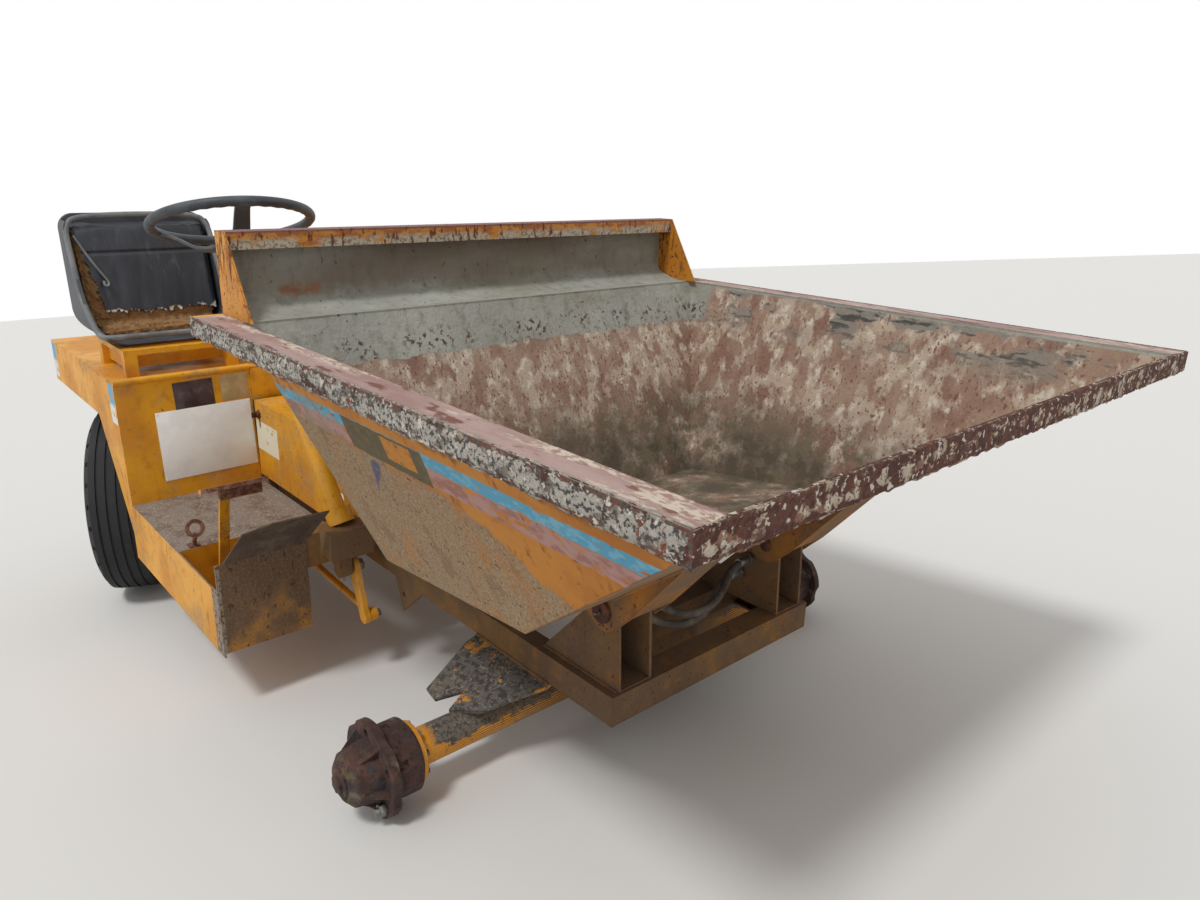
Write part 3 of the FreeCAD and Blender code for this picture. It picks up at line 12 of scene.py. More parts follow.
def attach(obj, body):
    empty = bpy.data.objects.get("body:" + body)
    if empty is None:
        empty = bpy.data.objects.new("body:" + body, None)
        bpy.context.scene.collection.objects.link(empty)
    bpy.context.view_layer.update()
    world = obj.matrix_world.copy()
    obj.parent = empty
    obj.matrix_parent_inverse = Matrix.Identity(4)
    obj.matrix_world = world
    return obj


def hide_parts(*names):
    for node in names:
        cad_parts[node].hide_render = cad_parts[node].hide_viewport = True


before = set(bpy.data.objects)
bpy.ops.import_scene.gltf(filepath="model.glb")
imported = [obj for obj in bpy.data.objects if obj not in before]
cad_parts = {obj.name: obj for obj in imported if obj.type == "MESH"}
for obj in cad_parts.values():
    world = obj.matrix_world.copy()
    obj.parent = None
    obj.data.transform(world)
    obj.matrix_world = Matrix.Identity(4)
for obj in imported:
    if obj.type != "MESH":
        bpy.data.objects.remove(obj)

log = logging.getLogger("site_dumper")
Point = tuple[float, float, float]
Value = "float | tuple[float, ...] | bpy.types.NodeSocket"

# The machine's own frame: millimetres, x forward, y left, z up, with its origin in the front axle.
# The CAD stands it nose down on its bare hubs, and these two values say how.
PITCH = math.radians(7.016)
SHIFT = Vector((0.651613, 0.0, 0.104744))
TO_WORLD = Matrix.Translation(SHIFT) @ Matrix.Rotation(PITCH, 4, "Y")
TO_MACHINE = TO_WORLD.inverted()
REAR_AXLE_X = -1814.0


class Side(Enum):
    """Side of the machine as the sign of y."""

    RIGHT = -1
    LEFT = 1


# Small helpers

def srgb(code: str) -> tuple[float, float, float, float]:
    """Turn an sRGB hex colour into linear values.

    Args:
        code: Six hex digits.

    Returns:
        Red, green, blue and an alpha of one.
    """
    parts = [int(code[i:i + 2], 16) / 255 for i in (0, 2, 4)]
    linear = [p / 12.92 if p <= 0.04045 else ((p + 0.055) / 1.055) ** 2.4 for p in parts]
    return (linear[0], linear[1], linear[2], 1.0)


def add_node(tree: bpy.types.NodeTree, kind: str, inputs: dict | None = None, **settings) -> bpy.types.Node:
    """Add one node with its settings and links.

    Args:
        tree: Tree that the node goes into.
        kind: Blender's name for the node type.
        inputs: Values or output sockets by input name or number.
        **settings: Properties of the node.

    Returns:
        The new node.
    """
    node = tree.nodes.new(kind)
    for name, value in settings.items():
        setattr(node, name, value)
    for key, value in (inputs or {}).items():
        if isinstance(value, bpy.types.NodeSocket):
            tree.links.new(value, node.inputs[key])
        else:
            node.inputs[key].default_value = value
    return node


def deselect() -> None:
    """Leave edit mode and let go of everything."""
    if bpy.context.object and bpy.context.object.mode != "OBJECT":
        bpy.ops.object.mode_set(mode="OBJECT")
    bpy.ops.object.select_all(action="DESELECT")


def pick(piece: bpy.types.Object) -> None:
    """Make one object the only one that operators act on."""
    deselect()
    piece.select_set(True)
    bpy.context.view_layer.objects.active = piece


def edit(piece: bpy.types.Object, chosen: Callable[[bpy.types.MeshPolygon], bool] | None = None) -> None:
    """Enter edit mode with all faces, or those that a test picks, selected.

    Args:
        piece: Mesh object to edit.
        chosen: Test of a face; everything is selected without one.
    """
    pick(piece)
    bpy.ops.object.mode_set(mode="EDIT")
    bpy.ops.mesh.select_mode(type="FACE" if chosen else "VERT")
    bpy.ops.mesh.select_all(action="DESELECT" if chosen else "SELECT")
    if chosen:
        bpy.ops.object.mode_set(mode="OBJECT")
        for face in piece.data.polygons:
            face.select = chosen(face)
        bpy.ops.object.mode_set(mode="EDIT")


def done_editing() -> None:
    """Back to object mode."""
    bpy.ops.object.mode_set(mode="OBJECT")


def modified(piece: bpy.types.Object, kind: str, **settings) -> bpy.types.Object:
    """Add a modifier and apply it.

    Args:
        piece: Mesh object.
        kind: Modifier type.
        **settings: The modifier's properties.

    Returns:
        The same object.
    """
    pick(piece)
    modifier = piece.modifiers.new(kind.title(), kind)
    for name, value in settings.items():
        setattr(modifier, name, value)
    bpy.ops.object.modifier_apply(modifier=modifier.name)
    return piece


def mm(*values: float) -> tuple[float, ...]:
    """Millimetres as metres."""
    return tuple(value / 1000 for value in values)


def block(low: Point, high: Point, bevel: float = 1.5, segments: int = 2) -> bpy.types.Object:
    """Block with rounded edges between two corners in machine millimetres.

    Args:
        low: Lowest corner.
        high: Highest corner.
        bevel: Edge rounding in millimetres.
        segments: Faces across each rounded edge.

    Returns:
        The new mesh object.
    """
    deselect()
    centre = [(a + b) / 2 for a, b in zip(low, high)]
    size = [b - a for a, b in zip(low, high)]
    bpy.ops.mesh.primitive_cube_add(size=1, location=mm(*centre), scale=mm(*size))
    piece = bpy.context.object
    bpy.ops.object.transform_apply(location=True, rotation=True, scale=True)
    edit(piece)
    bpy.ops.mesh.bevel(offset=bevel / 1000, segments=segments, affect="EDGES")
    done_editing()
    return piece


def round_bar(start: Point, end: Point, radius: float, sides: int = 24, bevel: float = 1.0) -> bpy.types.Object:
    """Round or many-sided bar between two points in machine millimetres.

    Args:
        start: Middle of one end.
        end: Middle of the other end.
        radius: Radius in millimetres.
        sides: Faces round it.
        bevel: Rounding of the end edges in millimetres.

    Returns:
        The new mesh object.
    """
    deselect()
    a, b = Vector(start) / 1000, Vector(end) / 1000
    turn = (b - a).to_track_quat("Z", "Y").to_euler()
    bpy.ops.mesh.primitive_cylinder_add(
        vertices=sides, radius=radius / 1000, depth=(b - a).length, location=(a + b) / 2, rotation=turn,
    )
    piece = bpy.context.object
    bpy.ops.object.transform_apply(location=True, rotation=True, scale=True)
    if bevel:
        edit(piece, lambda face: len(face.vertices) > 4)
        bpy.ops.mesh.bevel(offset=bevel / 1000, segments=2, affect="EDGES")
        done_editing()
    return piece


def spun(outline: Sequence[tuple[float, float]], steps: int, centre: Point) -> bpy.types.Object:
    """Ring or solid spun about a line along y.

    Args:
        outline: Closed outline of (distance along y, radius) pairs in millimetres.
        steps: Number of faces round it.
        centre: Point on the line that the outline is measured from.

    Returns:
        The new mesh object.
    """
    deselect()
    bpy.ops.mesh.primitive_circle_add(vertices=len(outline), radius=1)
    piece = bpy.context.object
    for vertex, (along, radius) in zip(piece.data.vertices, outline):
        vertex.co = mm(radius, along, 0)
    edit(piece)
    bpy.ops.mesh.spin(steps=steps, angle=math.tau, center=(0, 0, 0), axis=(0, 1, 0))
    bpy.ops.mesh.select_all(action="SELECT")
    bpy.ops.mesh.remove_doubles(threshold=0.00001)
    bpy.ops.mesh.normals_make_consistent(inside=False)
    bpy.ops.transform.translate(value=mm(*centre))
    done_editing()
    return piece


def tube(route: Sequence[Point], radius: float, closed: bool = False) -> bpy.types.Object:
    """Round cord along smooth turns near a row of points.

    Args:
        route: Points in machine millimetres.
        radius: Radius in millimetres.
        closed: Whether the cord runs back to its start.

    Returns:
        The new mesh object.
    """
    deselect()
    data = bpy.data.curves.new("cord", "CURVE")
    data.dimensions = "3D"
    data.bevel_depth = radius / 1000
    data.bevel_resolution = 4
    data.resolution_u = 10
    data.use_fill_caps = True
    spline = data.splines.new("NURBS")
    spline.points.add(len(route) - 1)
    for control, point in zip(spline.points, route):
        control.co = (*mm(*point), 1)
    spline.order_u = 3
    spline.use_endpoint_u = not closed
    spline.use_cyclic_u = closed
    piece = bpy.data.objects.new("cord", data)
    bpy.context.collection.objects.link(piece)
    pick(piece)
    bpy.ops.object.convert(target="MESH")
    return bpy.context.object


def joined(pieces: Sequence[bpy.types.Object]) -> bpy.types.Object:
    """One mesh object from several."""
    pick(pieces[0])
    for piece in pieces:
        piece.select_set(True)
    bpy.ops.object.join()
    return bpy.context.object


def copied(piece: bpy.types.Object, move: Matrix) -> bpy.types.Object:
    """Copy with its own mesh, moved by a matrix in metres.

    Args:
        piece: Mesh object to copy.
        move: Matrix applied to the copy's mesh.

    Returns:
        The copy.
    """
    twin = piece.copy()
    twin.data = piece.data.copy()
    twin.data.transform(move)
    bpy.context.collection.objects.link(twin)
    return twin


def about(point: Point, angle: float, axis: str) -> Matrix:
    """Turn by an angle in degrees about a line through a point in millimetres."""
    place = Matrix.Translation(Vector(point) / 1000)
    return place @ Matrix.Rotation(math.radians(angle), 4, axis) @ place.inverted()


def placed(
    piece: bpy.types.Object, name: str, body: str, material: bpy.types.Material,
    smooth: float | None = 35.0, world: Matrix = TO_WORLD,
) -> bpy.types.Object:
    """Finish a piece: its name, its place in the world, its shading, material and body.

    Args:
        piece: Mesh object modelled in the machine's frame.
        name: Name of the piece.
        body: CAD body that it moves with.
        material: Its finish.
        smooth: Angle in degrees under which edges are shaded smooth, or None.
        world: Matrix from its own frame to the world.

    Returns:
        The same object.
    """
    pick(piece)
    bpy.ops.object.transform_apply(location=True, rotation=True, scale=True)
    piece.data.transform(world)
    if smooth is not None:
        bpy.ops.object.shade_smooth_by_angle(angle=math.radians(smooth))
    piece.name = piece.data.name = name
    piece.data.materials.clear()
    piece.data.materials.append(material)
    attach(piece, body)
    log.info("%s: %d faces on %s", name, len(piece.data.polygons), body)
    return piece


# Materials

class Surface:
    """A material under way: a base, with layers of paint, dirt and rust laid over it in turn."""

    def __init__(self, name: str, colour: str, roughness: float, metallic: float = 0.0) -> None:
        """Start with the bare base.

        Args:
            name: Name of the material.
            colour: Hex colour of the base.
            roughness: Its roughness.
            metallic: One for bare metal.
        """
        self.material = bpy.data.materials.new(name)
        self.material.use_nodes = True
        self.tree = self.material.node_tree
        self.shader = self.tree.nodes["Principled BSDF"]
        coordinates = add_node(self.tree, "ShaderNodeTexCoord")
        back = TO_MACHINE.to_translation()
        self.place = add_node(self.tree, "ShaderNodeMapping", {
            "Vector": coordinates.outputs["Object"], "Location": back, "Rotation": (0, -PITCH, 0),
        }).outputs[0]
        axes = add_node(self.tree, "ShaderNodeSeparateXYZ", {0: self.place})
        self.axis = dict(zip("xyz", axes.outputs))
        self.colour: Value = srgb(colour)
        self.roughness: Value = roughness
        self.metallic: Value = metallic
        self.normal: Value | None = None

    def blotches(
        self, size: float, low: float = 0.45, high: float = 0.55, detail: float = 4.0,
        stretch: Point = (1, 1, 1), shift: float = 0.0,
    ) -> bpy.types.NodeSocket:
        """Mask of irregular patches.

        Args:
            size: Rough size of a patch in millimetres.
            low: Noise level at which the mask starts.
            high: Noise level at which it is full.
            detail: Octaves of finer noise.
            stretch: How many times longer a patch is along x, y and z.
            shift: Moves the pattern, so that two masks differ.

        Returns:
            Socket with values from 0 to 1.
        """
        scaled = add_node(self.tree, "ShaderNodeMapping", {
            "Vector": self.place, "Location": (shift, shift, shift), "Scale": tuple(1 / s for s in stretch),
        })
        noise = add_node(self.tree, "ShaderNodeTexNoise", {
            "Vector": scaled.outputs[0], "Scale": 1000 / size, "Detail": detail, "Roughness": 0.6,
        })
        return self.ramp(noise.outputs[0], low, high)

    def ramp(self, value: bpy.types.NodeSocket, low: float, high: float) -> bpy.types.NodeSocket:
        """Smooth step from 0 at low to 1 at high."""
        return add_node(self.tree, "ShaderNodeMapRange", {
            0: value, 1: low, 2: high, 3: 0.0, 4: 1.0,
        }, interpolation_type="SMOOTHSTEP").outputs[0]

    def combine(self, how: str, first: Value, second: Value) -> bpy.types.NodeSocket:
        """Math of two values, such as MULTIPLY, MAXIMUM or ADD."""
        return add_node(self.tree, "ShaderNodeMath", {0: first, 1: second}, operation=how).outputs[0]

    def both(self, *masks: Value) -> bpy.types.NodeSocket:
        """Where all the masks overlap."""
        result = masks[0]
        for mask in masks[1:]:
            result = self.combine("MULTIPLY", result, mask)
        return result

    def between(self, axis: str, low: float, high: float, edge: float = 2.0, ragged: float = 0.0) -> bpy.types.NodeSocket:
        """Mask of a band across one axis of the machine.

        Args:
            axis: Name of the axis.
            low: Start of the band in millimetres.
            high: End of the band in millimetres.
            edge: Softness of its edges in millimetres.
            ragged: How far a fine noise moves the edges, in millimetres.

        Returns:
            Socket with values from 0 to 1.
        """
        value = self.axis[axis]
        if ragged:
            noise = add_node(self.tree, "ShaderNodeTexNoise", {"Vector": self.place, "Scale": 40.0, "Detail": 5.0})
            moved = self.combine("MULTIPLY", self.combine("SUBTRACT", noise.outputs[0], 0.5), ragged * 2 / 1000)
            value = self.combine("ADD", value, moved)
        rise = self.ramp(value, (low - edge) / 1000, (low + edge) / 1000)
        fall = self.ramp(value, (high + edge) / 1000, (high - edge) / 1000)
        return self.both(rise, fall)

    def zone(self, low: Point, high: Point, edge: float = 3.0, ragged: float = 0.0) -> bpy.types.NodeSocket:
        """Mask of a box in machine millimetres."""
        bands = [self.between(axis, a, b, edge, ragged) for axis, a, b in zip("xyz", low, high)]
        return self.both(*bands)

    def edges(self, width: float) -> bpy.types.NodeSocket:
        """Mask of the sharp edges of the piece, about as wide as given in millimetres."""
        bevel = add_node(self.tree, "ShaderNodeBevel", {"Radius": width / 1000}, samples=4)
        flat = add_node(self.tree, "ShaderNodeNewGeometry")
        match = add_node(self.tree, "ShaderNodeVectorMath", {
            0: bevel.outputs[0], 1: flat.outputs["Normal"],
        }, operation="DOT_PRODUCT")
        return self.ramp(match.outputs["Value"], 0.995, 0.85)

    def lay(self, mask: Value, colour: str, roughness: float | None = None, metallic: float | None = None) -> None:
        """Lay a layer over what is there, where a mask says.

        Args:
            mask: Where the layer shows, from 0 to 1.
            colour: Its hex colour.
            roughness: Its roughness, if it changes.
            metallic: Its metallic value, if it changes.
        """
        self.colour = add_node(self.tree, "ShaderNodeMix", {
            0: mask, 6: self.colour, 7: srgb(colour),
        }, data_type="RGBA").outputs[2]
        if roughness is not None:
            self.roughness = add_node(self.tree, "ShaderNodeMix", {
                0: mask, 2: self.roughness, 3: roughness,
            }, data_type="FLOAT").outputs[0]
        if metallic is not None:
            self.metallic = add_node(self.tree, "ShaderNodeMix", {
                0: mask, 2: self.metallic, 3: metallic,
            }, data_type="FLOAT").outputs[0]

    def relief(self, height: bpy.types.NodeSocket, depth: float, strength: float = 1.0) -> None:
        """Bump the surface.

        Args:
            height: Socket with the height from 0 to 1.
            depth: Height of a full step in millimetres.
            strength: Share of the effect.
        """
        inputs = {"Height": height, "Distance": depth / 1000, "Strength": strength}
        if self.normal is not None:
            inputs["Normal"] = self.normal
        self.normal = add_node(self.tree, "ShaderNodeBump", inputs).outputs[0]

    def finished(self) -> bpy.types.Material:
        """Join the layers to the shader and return the material."""
        for key, value in (("Base Color", self.colour), ("Roughness", self.roughness), ("Metallic", self.metallic),
                           ("Normal", self.normal)):
            if isinstance(value, bpy.types.NodeSocket):
                self.tree.links.new(value, self.shader.inputs[key])
            elif value is not None:
                self.shader.inputs[key].default_value = value
        return self.material


@dataclass(frozen=True)
class WornPaint:
    """Sprayed chassis enamel, faded by the sun: chips and edges down to rust, runs below them, dust on top."""

    name: str
    paint: str = "E3A01C"
    faded: str = "CF8A1E"
    rust: str = "6B3420"
    dust: str = "A08A70"
    chips: float = 0.35
    dusty: float = 0.25
    gloss: float = 0.45

    def surface(self) -> Surface:
        """Lay the paint, its wear and its dust, without finishing the material."""
        s = Surface(self.name, self.paint, self.gloss)
        s.lay(s.blotches(260, 0.42, 0.62, 3), self.faded, self.gloss + 0.12)
        s.lay(s.both(s.blotches(40, 0.48, 0.80, 6, shift=3.0), 0.8), "B4741B", self.gloss + 0.2)
        region = s.blotches(190, 0.58 - self.chips * 0.22, 0.72 - self.chips * 0.22, 4, shift=7.7)
        runs = s.both(region, s.blotches(16, 0.56, 0.70, 5, (1, 1, 7), 1.7), 0.8)
        s.lay(runs, "80461E", 0.85)
        dust = s.both(s.blotches(120, 0.62 - self.dusty * 0.45, 0.80, 7, shift=5.1), min(1.0, 0.35 + self.dusty))
        s.lay(dust, self.dust, 0.95)
        s.lay(s.both(dust, s.blotches(7, 0.52, 0.62, 4, shift=6.0)), "6E5B45", 0.95)
        grain = s.blotches(7, 0.40, 0.60, 3, shift=8.0)
        worn = s.both(s.edges(3.0), s.blotches(28, 0.56 - self.chips * 0.24, 0.62 - self.chips * 0.1, 5, shift=2.2))
        level = 0.70 - self.chips * 0.10
        near = s.both(region, s.blotches(10, level, level + 0.02, 5, shift=9.3))
        pin = s.blotches(15, 0.70, 0.72, 3, shift=4.1)
        bare = s.combine("MAXIMUM", worn, s.combine("MAXIMUM", near, pin))
        s.lay(bare, self.rust, 0.9)
        s.lay(s.both(bare, grain), "44231A", 0.95)
        s.relief(s.combine("SUBTRACT", 1.0, bare), 0.35, 0.6)
        s.relief(grain, 0.12, 0.35)
        return s

    def make(self) -> bpy.types.Material:
        """The finished material."""
        return self.surface().finished()


@dataclass(frozen=True)
class BareRust:
    """Forged or cut steel that was never painted or has lost it all: layered brown rust, dull and pitted."""

    name: str
    body: str = "4A2C22"
    light: str = "7B4A33"
    dark: str = "241713"
    dust: str = "8D7A66"
    dusty: float = 0.2
    pits: float = 14.0

    def surface(self) -> Surface:
        """Lay rust in three tones and dust in the hollows."""
        s = Surface(self.name, self.body, 0.88)
        s.lay(s.blotches(70, 0.45, 0.65, 6), self.light, 0.92)
        s.lay(s.blotches(self.pits, 0.52, 0.66, 5, shift=4.0), self.dark, 0.8)
        dust = s.blotches(45, 0.66 - self.dusty * 0.5, 0.82, 6, shift=6.0)
        s.lay(dust, self.dust, 0.97)
        s.relief(s.blotches(self.pits, 0.30, 0.75, 6, shift=4.0), 0.9, 0.8)
        return s

    def make(self) -> bpy.types.Material:
        """The finished material."""
        return self.surface().finished()


@dataclass(frozen=True)
class HubIron(BareRust):
    """Cast iron hub, rusted through, with traces of black paint and moss on its cold end."""

    def make(self) -> bpy.types.Material:
        """The finished material."""
        s = self.surface()
        s.lay(s.both(s.blotches(34, 0.58, 0.66, 6, (1, 2, 1), 3.5), 0.8), "23282F", 0.6)
        end = s.ramp(s.combine("ABSOLUTE", s.axis["y"], 0.0), 0.738, 0.752)
        s.lay(s.both(end, s.blotches(22, 0.53, 0.62, 7, shift=1.5)), "56583A", 1.0)
        return s.finished()


@dataclass(frozen=True)
class AxlePaint:
    """Axle tube in yellow enamel that keeps a saddle of old cement on its upper side."""

    name: str = "axle_enamel_under_cement"

    def make(self) -> bpy.types.Material:
        """The finished material."""
        s = WornPaint(self.name, paint="D8921E", chips=0.6, dusty=0.3).surface()
        upward = add_node(s.tree, "ShaderNodeNewGeometry").outputs["Normal"]
        up = add_node(s.tree, "ShaderNodeSeparateXYZ", {0: upward}).outputs["Z"]
        reach = s.ramp(s.combine("ABSOLUTE", s.axis["y"], 0.0), 0.575, 0.545)
        crust = s.both(s.ramp(s.combine("ADD", up, s.combine("MULTIPLY", s.blotches(30, 0.3, 0.7, 7), 0.5)), 0.30, 0.42),
                       reach)
        s.lay(crust, "6A655D", 0.97)
        s.lay(s.both(crust, s.blotches(9, 0.46, 0.60, 6, shift=4.0)), "413E3B", 0.97)
        s.lay(s.both(crust, s.blotches(7, 0.60, 0.68, 5, shift=2.0)), "938D83", 0.97)
        s.relief(s.blotches(9, 0.3, 0.7, 6), 0.9, 0.5)
        return s.finished()


@dataclass(frozen=True)
class SkipSide:
    """Outer side of the skip: orange enamel whose base is the yellow-orange paint's shaded tone, as painted shade, with
    a blue and a mauve tape stripe, a dark square, and mortar dust.
    """

    name: str = "skip_side_enamel"
    blue: str = "4A9CBD"
    mauve: str = "B1877F"
    olive: str = "5B5238"

    def make(self) -> bpy.types.Material:
        """The finished material."""
        # Painted shade: the base is the shaded tone of the yellow-orange enamel, darker than the sunlit chassis yellow
        s = Surface(self.name, "C27C14", 0.55)
        s.lay(s.blotches(180, 0.40, 0.64, 4), "AE6A1C", 0.7)
        s.lay(s.blotches(24, 0.55, 0.75, 5, (1, 1, 3), 2.0), "87501F", 0.85)
        # Mortar dust that ran down from the rim hides nearly all of the paint lower down, in fine grains
        forward = s.combine("MULTIPLY", s.ramp(s.axis["x"], 0.20, 0.62), 0.13)
        height = s.ramp(s.combine("ADD", s.axis["z"], forward), 0.66, 0.59)
        patchy = s.combine("ADD", height, s.combine("SUBTRACT", s.blotches(170, 0.30, 0.70, 5, (1, 1, 2), 1.0), 0.55))
        film = s.ramp(patchy, 0.25, 0.62)
        s.lay(film, "93795B", 0.95)
        s.lay(s.both(film, s.blotches(5, 0.42, 0.66, 4, shift=7.0)), "AB957A", 0.97)
        s.lay(s.both(film, s.blotches(6, 0.58, 0.66, 4, (1, 1, 1.6), 3.3)), "6B4A33", 0.95)
        s.lay(s.both(film, s.blotches(100, 0.52, 0.72, 8, (1, 1, 2), 8.8), 0.75), "B0742F", 0.85)
        s.lay(s.both(film, s.blotches(60, 0.56, 0.66, 9, (1, 1, 2), 1.9), 0.6), "7D6248", 0.95)
        # Stripes of tape, level with the rim, lifted in flakes and dusty
        kept = s.blotches(22, 0.36, 0.44, 5, (2.5, 1, 1), 5.0)
        s.lay(s.both(s.between("z", 680, 707, 1.0, 4.0), kept), self.blue, 0.5)
        s.lay(s.both(s.between("z", 680, 707, 1.0, 4.0), kept, s.blotches(14, 0.48, 0.60, 6, (2, 1, 1))), "74AFC6", 0.55)
        s.lay(s.both(s.between("z", 643, 678, 1.5, 6.0), kept), self.mauve, 0.65)
        s.lay(s.both(s.between("z", 643, 678, 3.0, 8.0), kept, s.blotches(26, 0.46, 0.60, 5, (2, 1, 1))), "9A6A5E", 0.7)
        rear = s.both(s.ramp(s.axis["x"], -0.12, -0.30), s.between("z", 640, 708, 2.0, 6.0))
        s.lay(s.both(rear, s.blotches(34, 0.40, 0.60, 6, shift=2.6)), "8F8672", 0.9)
        square = s.both(s.between("z", 637, 706, 1.5, 4.0), s.between("x", -122, 171, 2.0, 5.0))
        s.lay(square, self.olive, 0.75)
        # The window inside the square goes back to the same shaded base tone, also painted shade
        window = s.both(s.between("z", 653, 700, 1.5, 3.0), s.between("x", 26, 129, 2.0, 4.0))
        s.lay(window, "C27C14", 0.6)
        s.lay(s.both(square, s.blotches(18, 0.50, 0.66, 5)), "77623E", 0.85)
        drop = add_node(s.tree, "ShaderNodeMapping", {
            "Vector": s.place, "Location": mm(-4, 0, 0), "Rotation": (0, math.radians(-32), 0),
        })
        slant = add_node(s.tree, "ShaderNodeSeparateXYZ", {0: drop.outputs[0]}).outputs["X"]
        width = s.ramp(s.axis["z"], 0.535, 0.625)
        off = s.combine("ABSOLUTE", s.combine("SUBTRACT", slant, -0.376), 0.0)
        ink = s.ramp(s.combine("SUBTRACT", s.combine("MULTIPLY", width, 0.015), off), -0.006, 0.005)
        smear = s.both(ink, s.between("z", 545, 628, 6.0, 14.0), s.blotches(8, 0.30, 0.48, 5, (1, 1, 3), 4.4))
        s.lay(s.both(smear, 0.8), "35406F", 0.7)
        # Rust comes through at scratches and along the plate's edges
        chip = s.both(s.blotches(13, 0.64, 0.68, 5, (1.6, 1, 1), 9.0), s.blotches(150, 0.40, 0.55, 3, shift=4.0))
        worn = s.both(s.edges(4.0), s.blotches(30, 0.40, 0.55, 4))
        s.lay(s.combine("MAXIMUM", chip, worn), "5A2E20", 0.9)
        # Painted shade: a darker brown band just under the rim, where its overhang shades the side
        rim_shade = s.both(s.between("z", 728, 790, 8.0, 16.0), s.blotches(45, 0.42, 0.6, 5, (2, 1, 1)))
        s.lay(rim_shade, "74451F", 0.85)
        s.relief(s.blotches(5, 0.35, 0.65, 4), 0.25, 0.45)
        s.relief(s.blotches(90, 0.3, 0.7, 3), 1.2, 0.25)
        return s.finished()


@dataclass(frozen=True)
class SkipInside:
    """Inside of the skip: bare rust with a film of grey cement on the upper walls, a painted shadow of the fold across
    the spill guard's top, and cream mortar crust.
    """

    name: str = "skip_inside_cement_film"
    film: str = "9C9C93"
    rust: str = "8A6A5A"

    def make(self) -> bpy.types.Material:
        """The finished material."""
        s = Surface(self.name, self.rust, 0.9)
        s.lay(s.blotches(90, 0.36, 0.60, 9, (1, 1, 2)), "A18774", 0.92)
        # Mortar left in cream patches with a crumbly edge, longer down the wall than across
        cream = s.blotches(48, 0.45, 0.57, 12, (1, 1, 1.8), 4.2)
        s.lay(s.both(cream, 0.85), "BCAA96", 0.97)
        s.lay(s.both(cream, s.blotches(24, 0.50, 0.60, 9, (1, 1, 1.4), 5.7)), "D0C4B3", 0.97)
        # Short dark drips of rust that ran down through it
        s.lay(s.both(s.blotches(8, 0.58, 0.64, 4, (1, 1, 2.4), 2.0), 0.85), "74483A", 0.88)
        s.lay(s.both(s.blotches(120, 0.52, 0.70, 6, (1, 1, 1.5), 7.4), s.blotches(6, 0.50, 0.60, 5)), "85604F", 0.9)
        # The grey film ends in a ragged level line on the rear wall and thins out down the side walls
        rear_wall = s.ramp(s.axis["x"], -0.36, -0.40)
        ragged = s.combine("ADD", s.axis["z"], s.combine("MULTIPLY", s.blotches(60, 0.2, 0.8, 6, shift=6.6), 0.016))
        rear = s.both(s.ramp(ragged, 0.729, 0.733), rear_wall)
        guard = s.ramp(s.axis["z"], 0.818, 0.826)
        sides = s.both(s.ramp(ragged, 0.70, 0.80), s.blotches(60, 0.46, 0.54, 7, (2, 1.5, 1), 6.0))
        s.lay(sides, "8A847A", 0.95)
        s.lay(s.both(sides, s.blotches(16, 0.48, 0.56, 8, (4, 1, 1), 7.0)), "4E4B47", 0.95)
        cover = s.combine("MAXIMUM", rear, guard)
        s.lay(cover, self.film, 0.93)
        s.lay(s.both(cover, s.blotches(200, 0.40, 0.66, 6, (1, 1, 2), 3.0)), "AAAA9F", 0.95)
        s.lay(s.both(cover, s.blotches(240, 0.46, 0.68, 5, (2, 3, 1), 8.0)), "85806F", 0.93)
        # Painted shadow: the spill guard's upper part, under its fold, darkened to brown-grey in broad patches
        high = s.both(s.between("z", 866, 1000, 22.0, 20.0), s.blotches(220, 0.30, 0.60, 6, (1, 2, 1), 9.0))
        s.lay(s.both(high, 0.85), "7C6E60", 0.93)
        s.lay(s.both(cover, s.blotches(26, 0.50, 0.70, 7, (1, 1, 3), 2.9), 0.5), "6F6A5E", 0.93)
        speck = s.blotches(15, 0.665, 0.69, 4, shift=1.2)
        low = s.both(s.between("z", 728, 775, 14.0, 30.0), s.blotches(13, 0.53, 0.58, 8, shift=3.7), rear_wall,
                     s.blotches(130, 0.42, 0.56, 3, shift=8.1))
        s.lay(s.combine("MAXIMUM", s.both(cover, speck), low), "52413C", 0.9)
        rusty = s.both(s.zone((-620, -552, 862), (-590, -452, 884), 9.0, 10.0), s.blotches(30, 0.30, 0.50, 6))
        s.lay(s.both(rusty, 0.8), "96623A", 0.9)
        silt = s.ramp(s.axis["z"], 0.60, 0.42)
        s.lay(s.both(silt, s.blotches(120, 0.25, 0.60, 6)), "574C3E", 0.9)
        s.lay(s.both(silt, s.blotches(40, 0.50, 0.62, 6, shift=9.0)), "6E6350", 0.95)
        s.relief(cream, 1.2, 0.8)
        s.relief(s.blotches(10, 0.35, 0.7, 6), 0.8, 0.8)
        return s.finished()


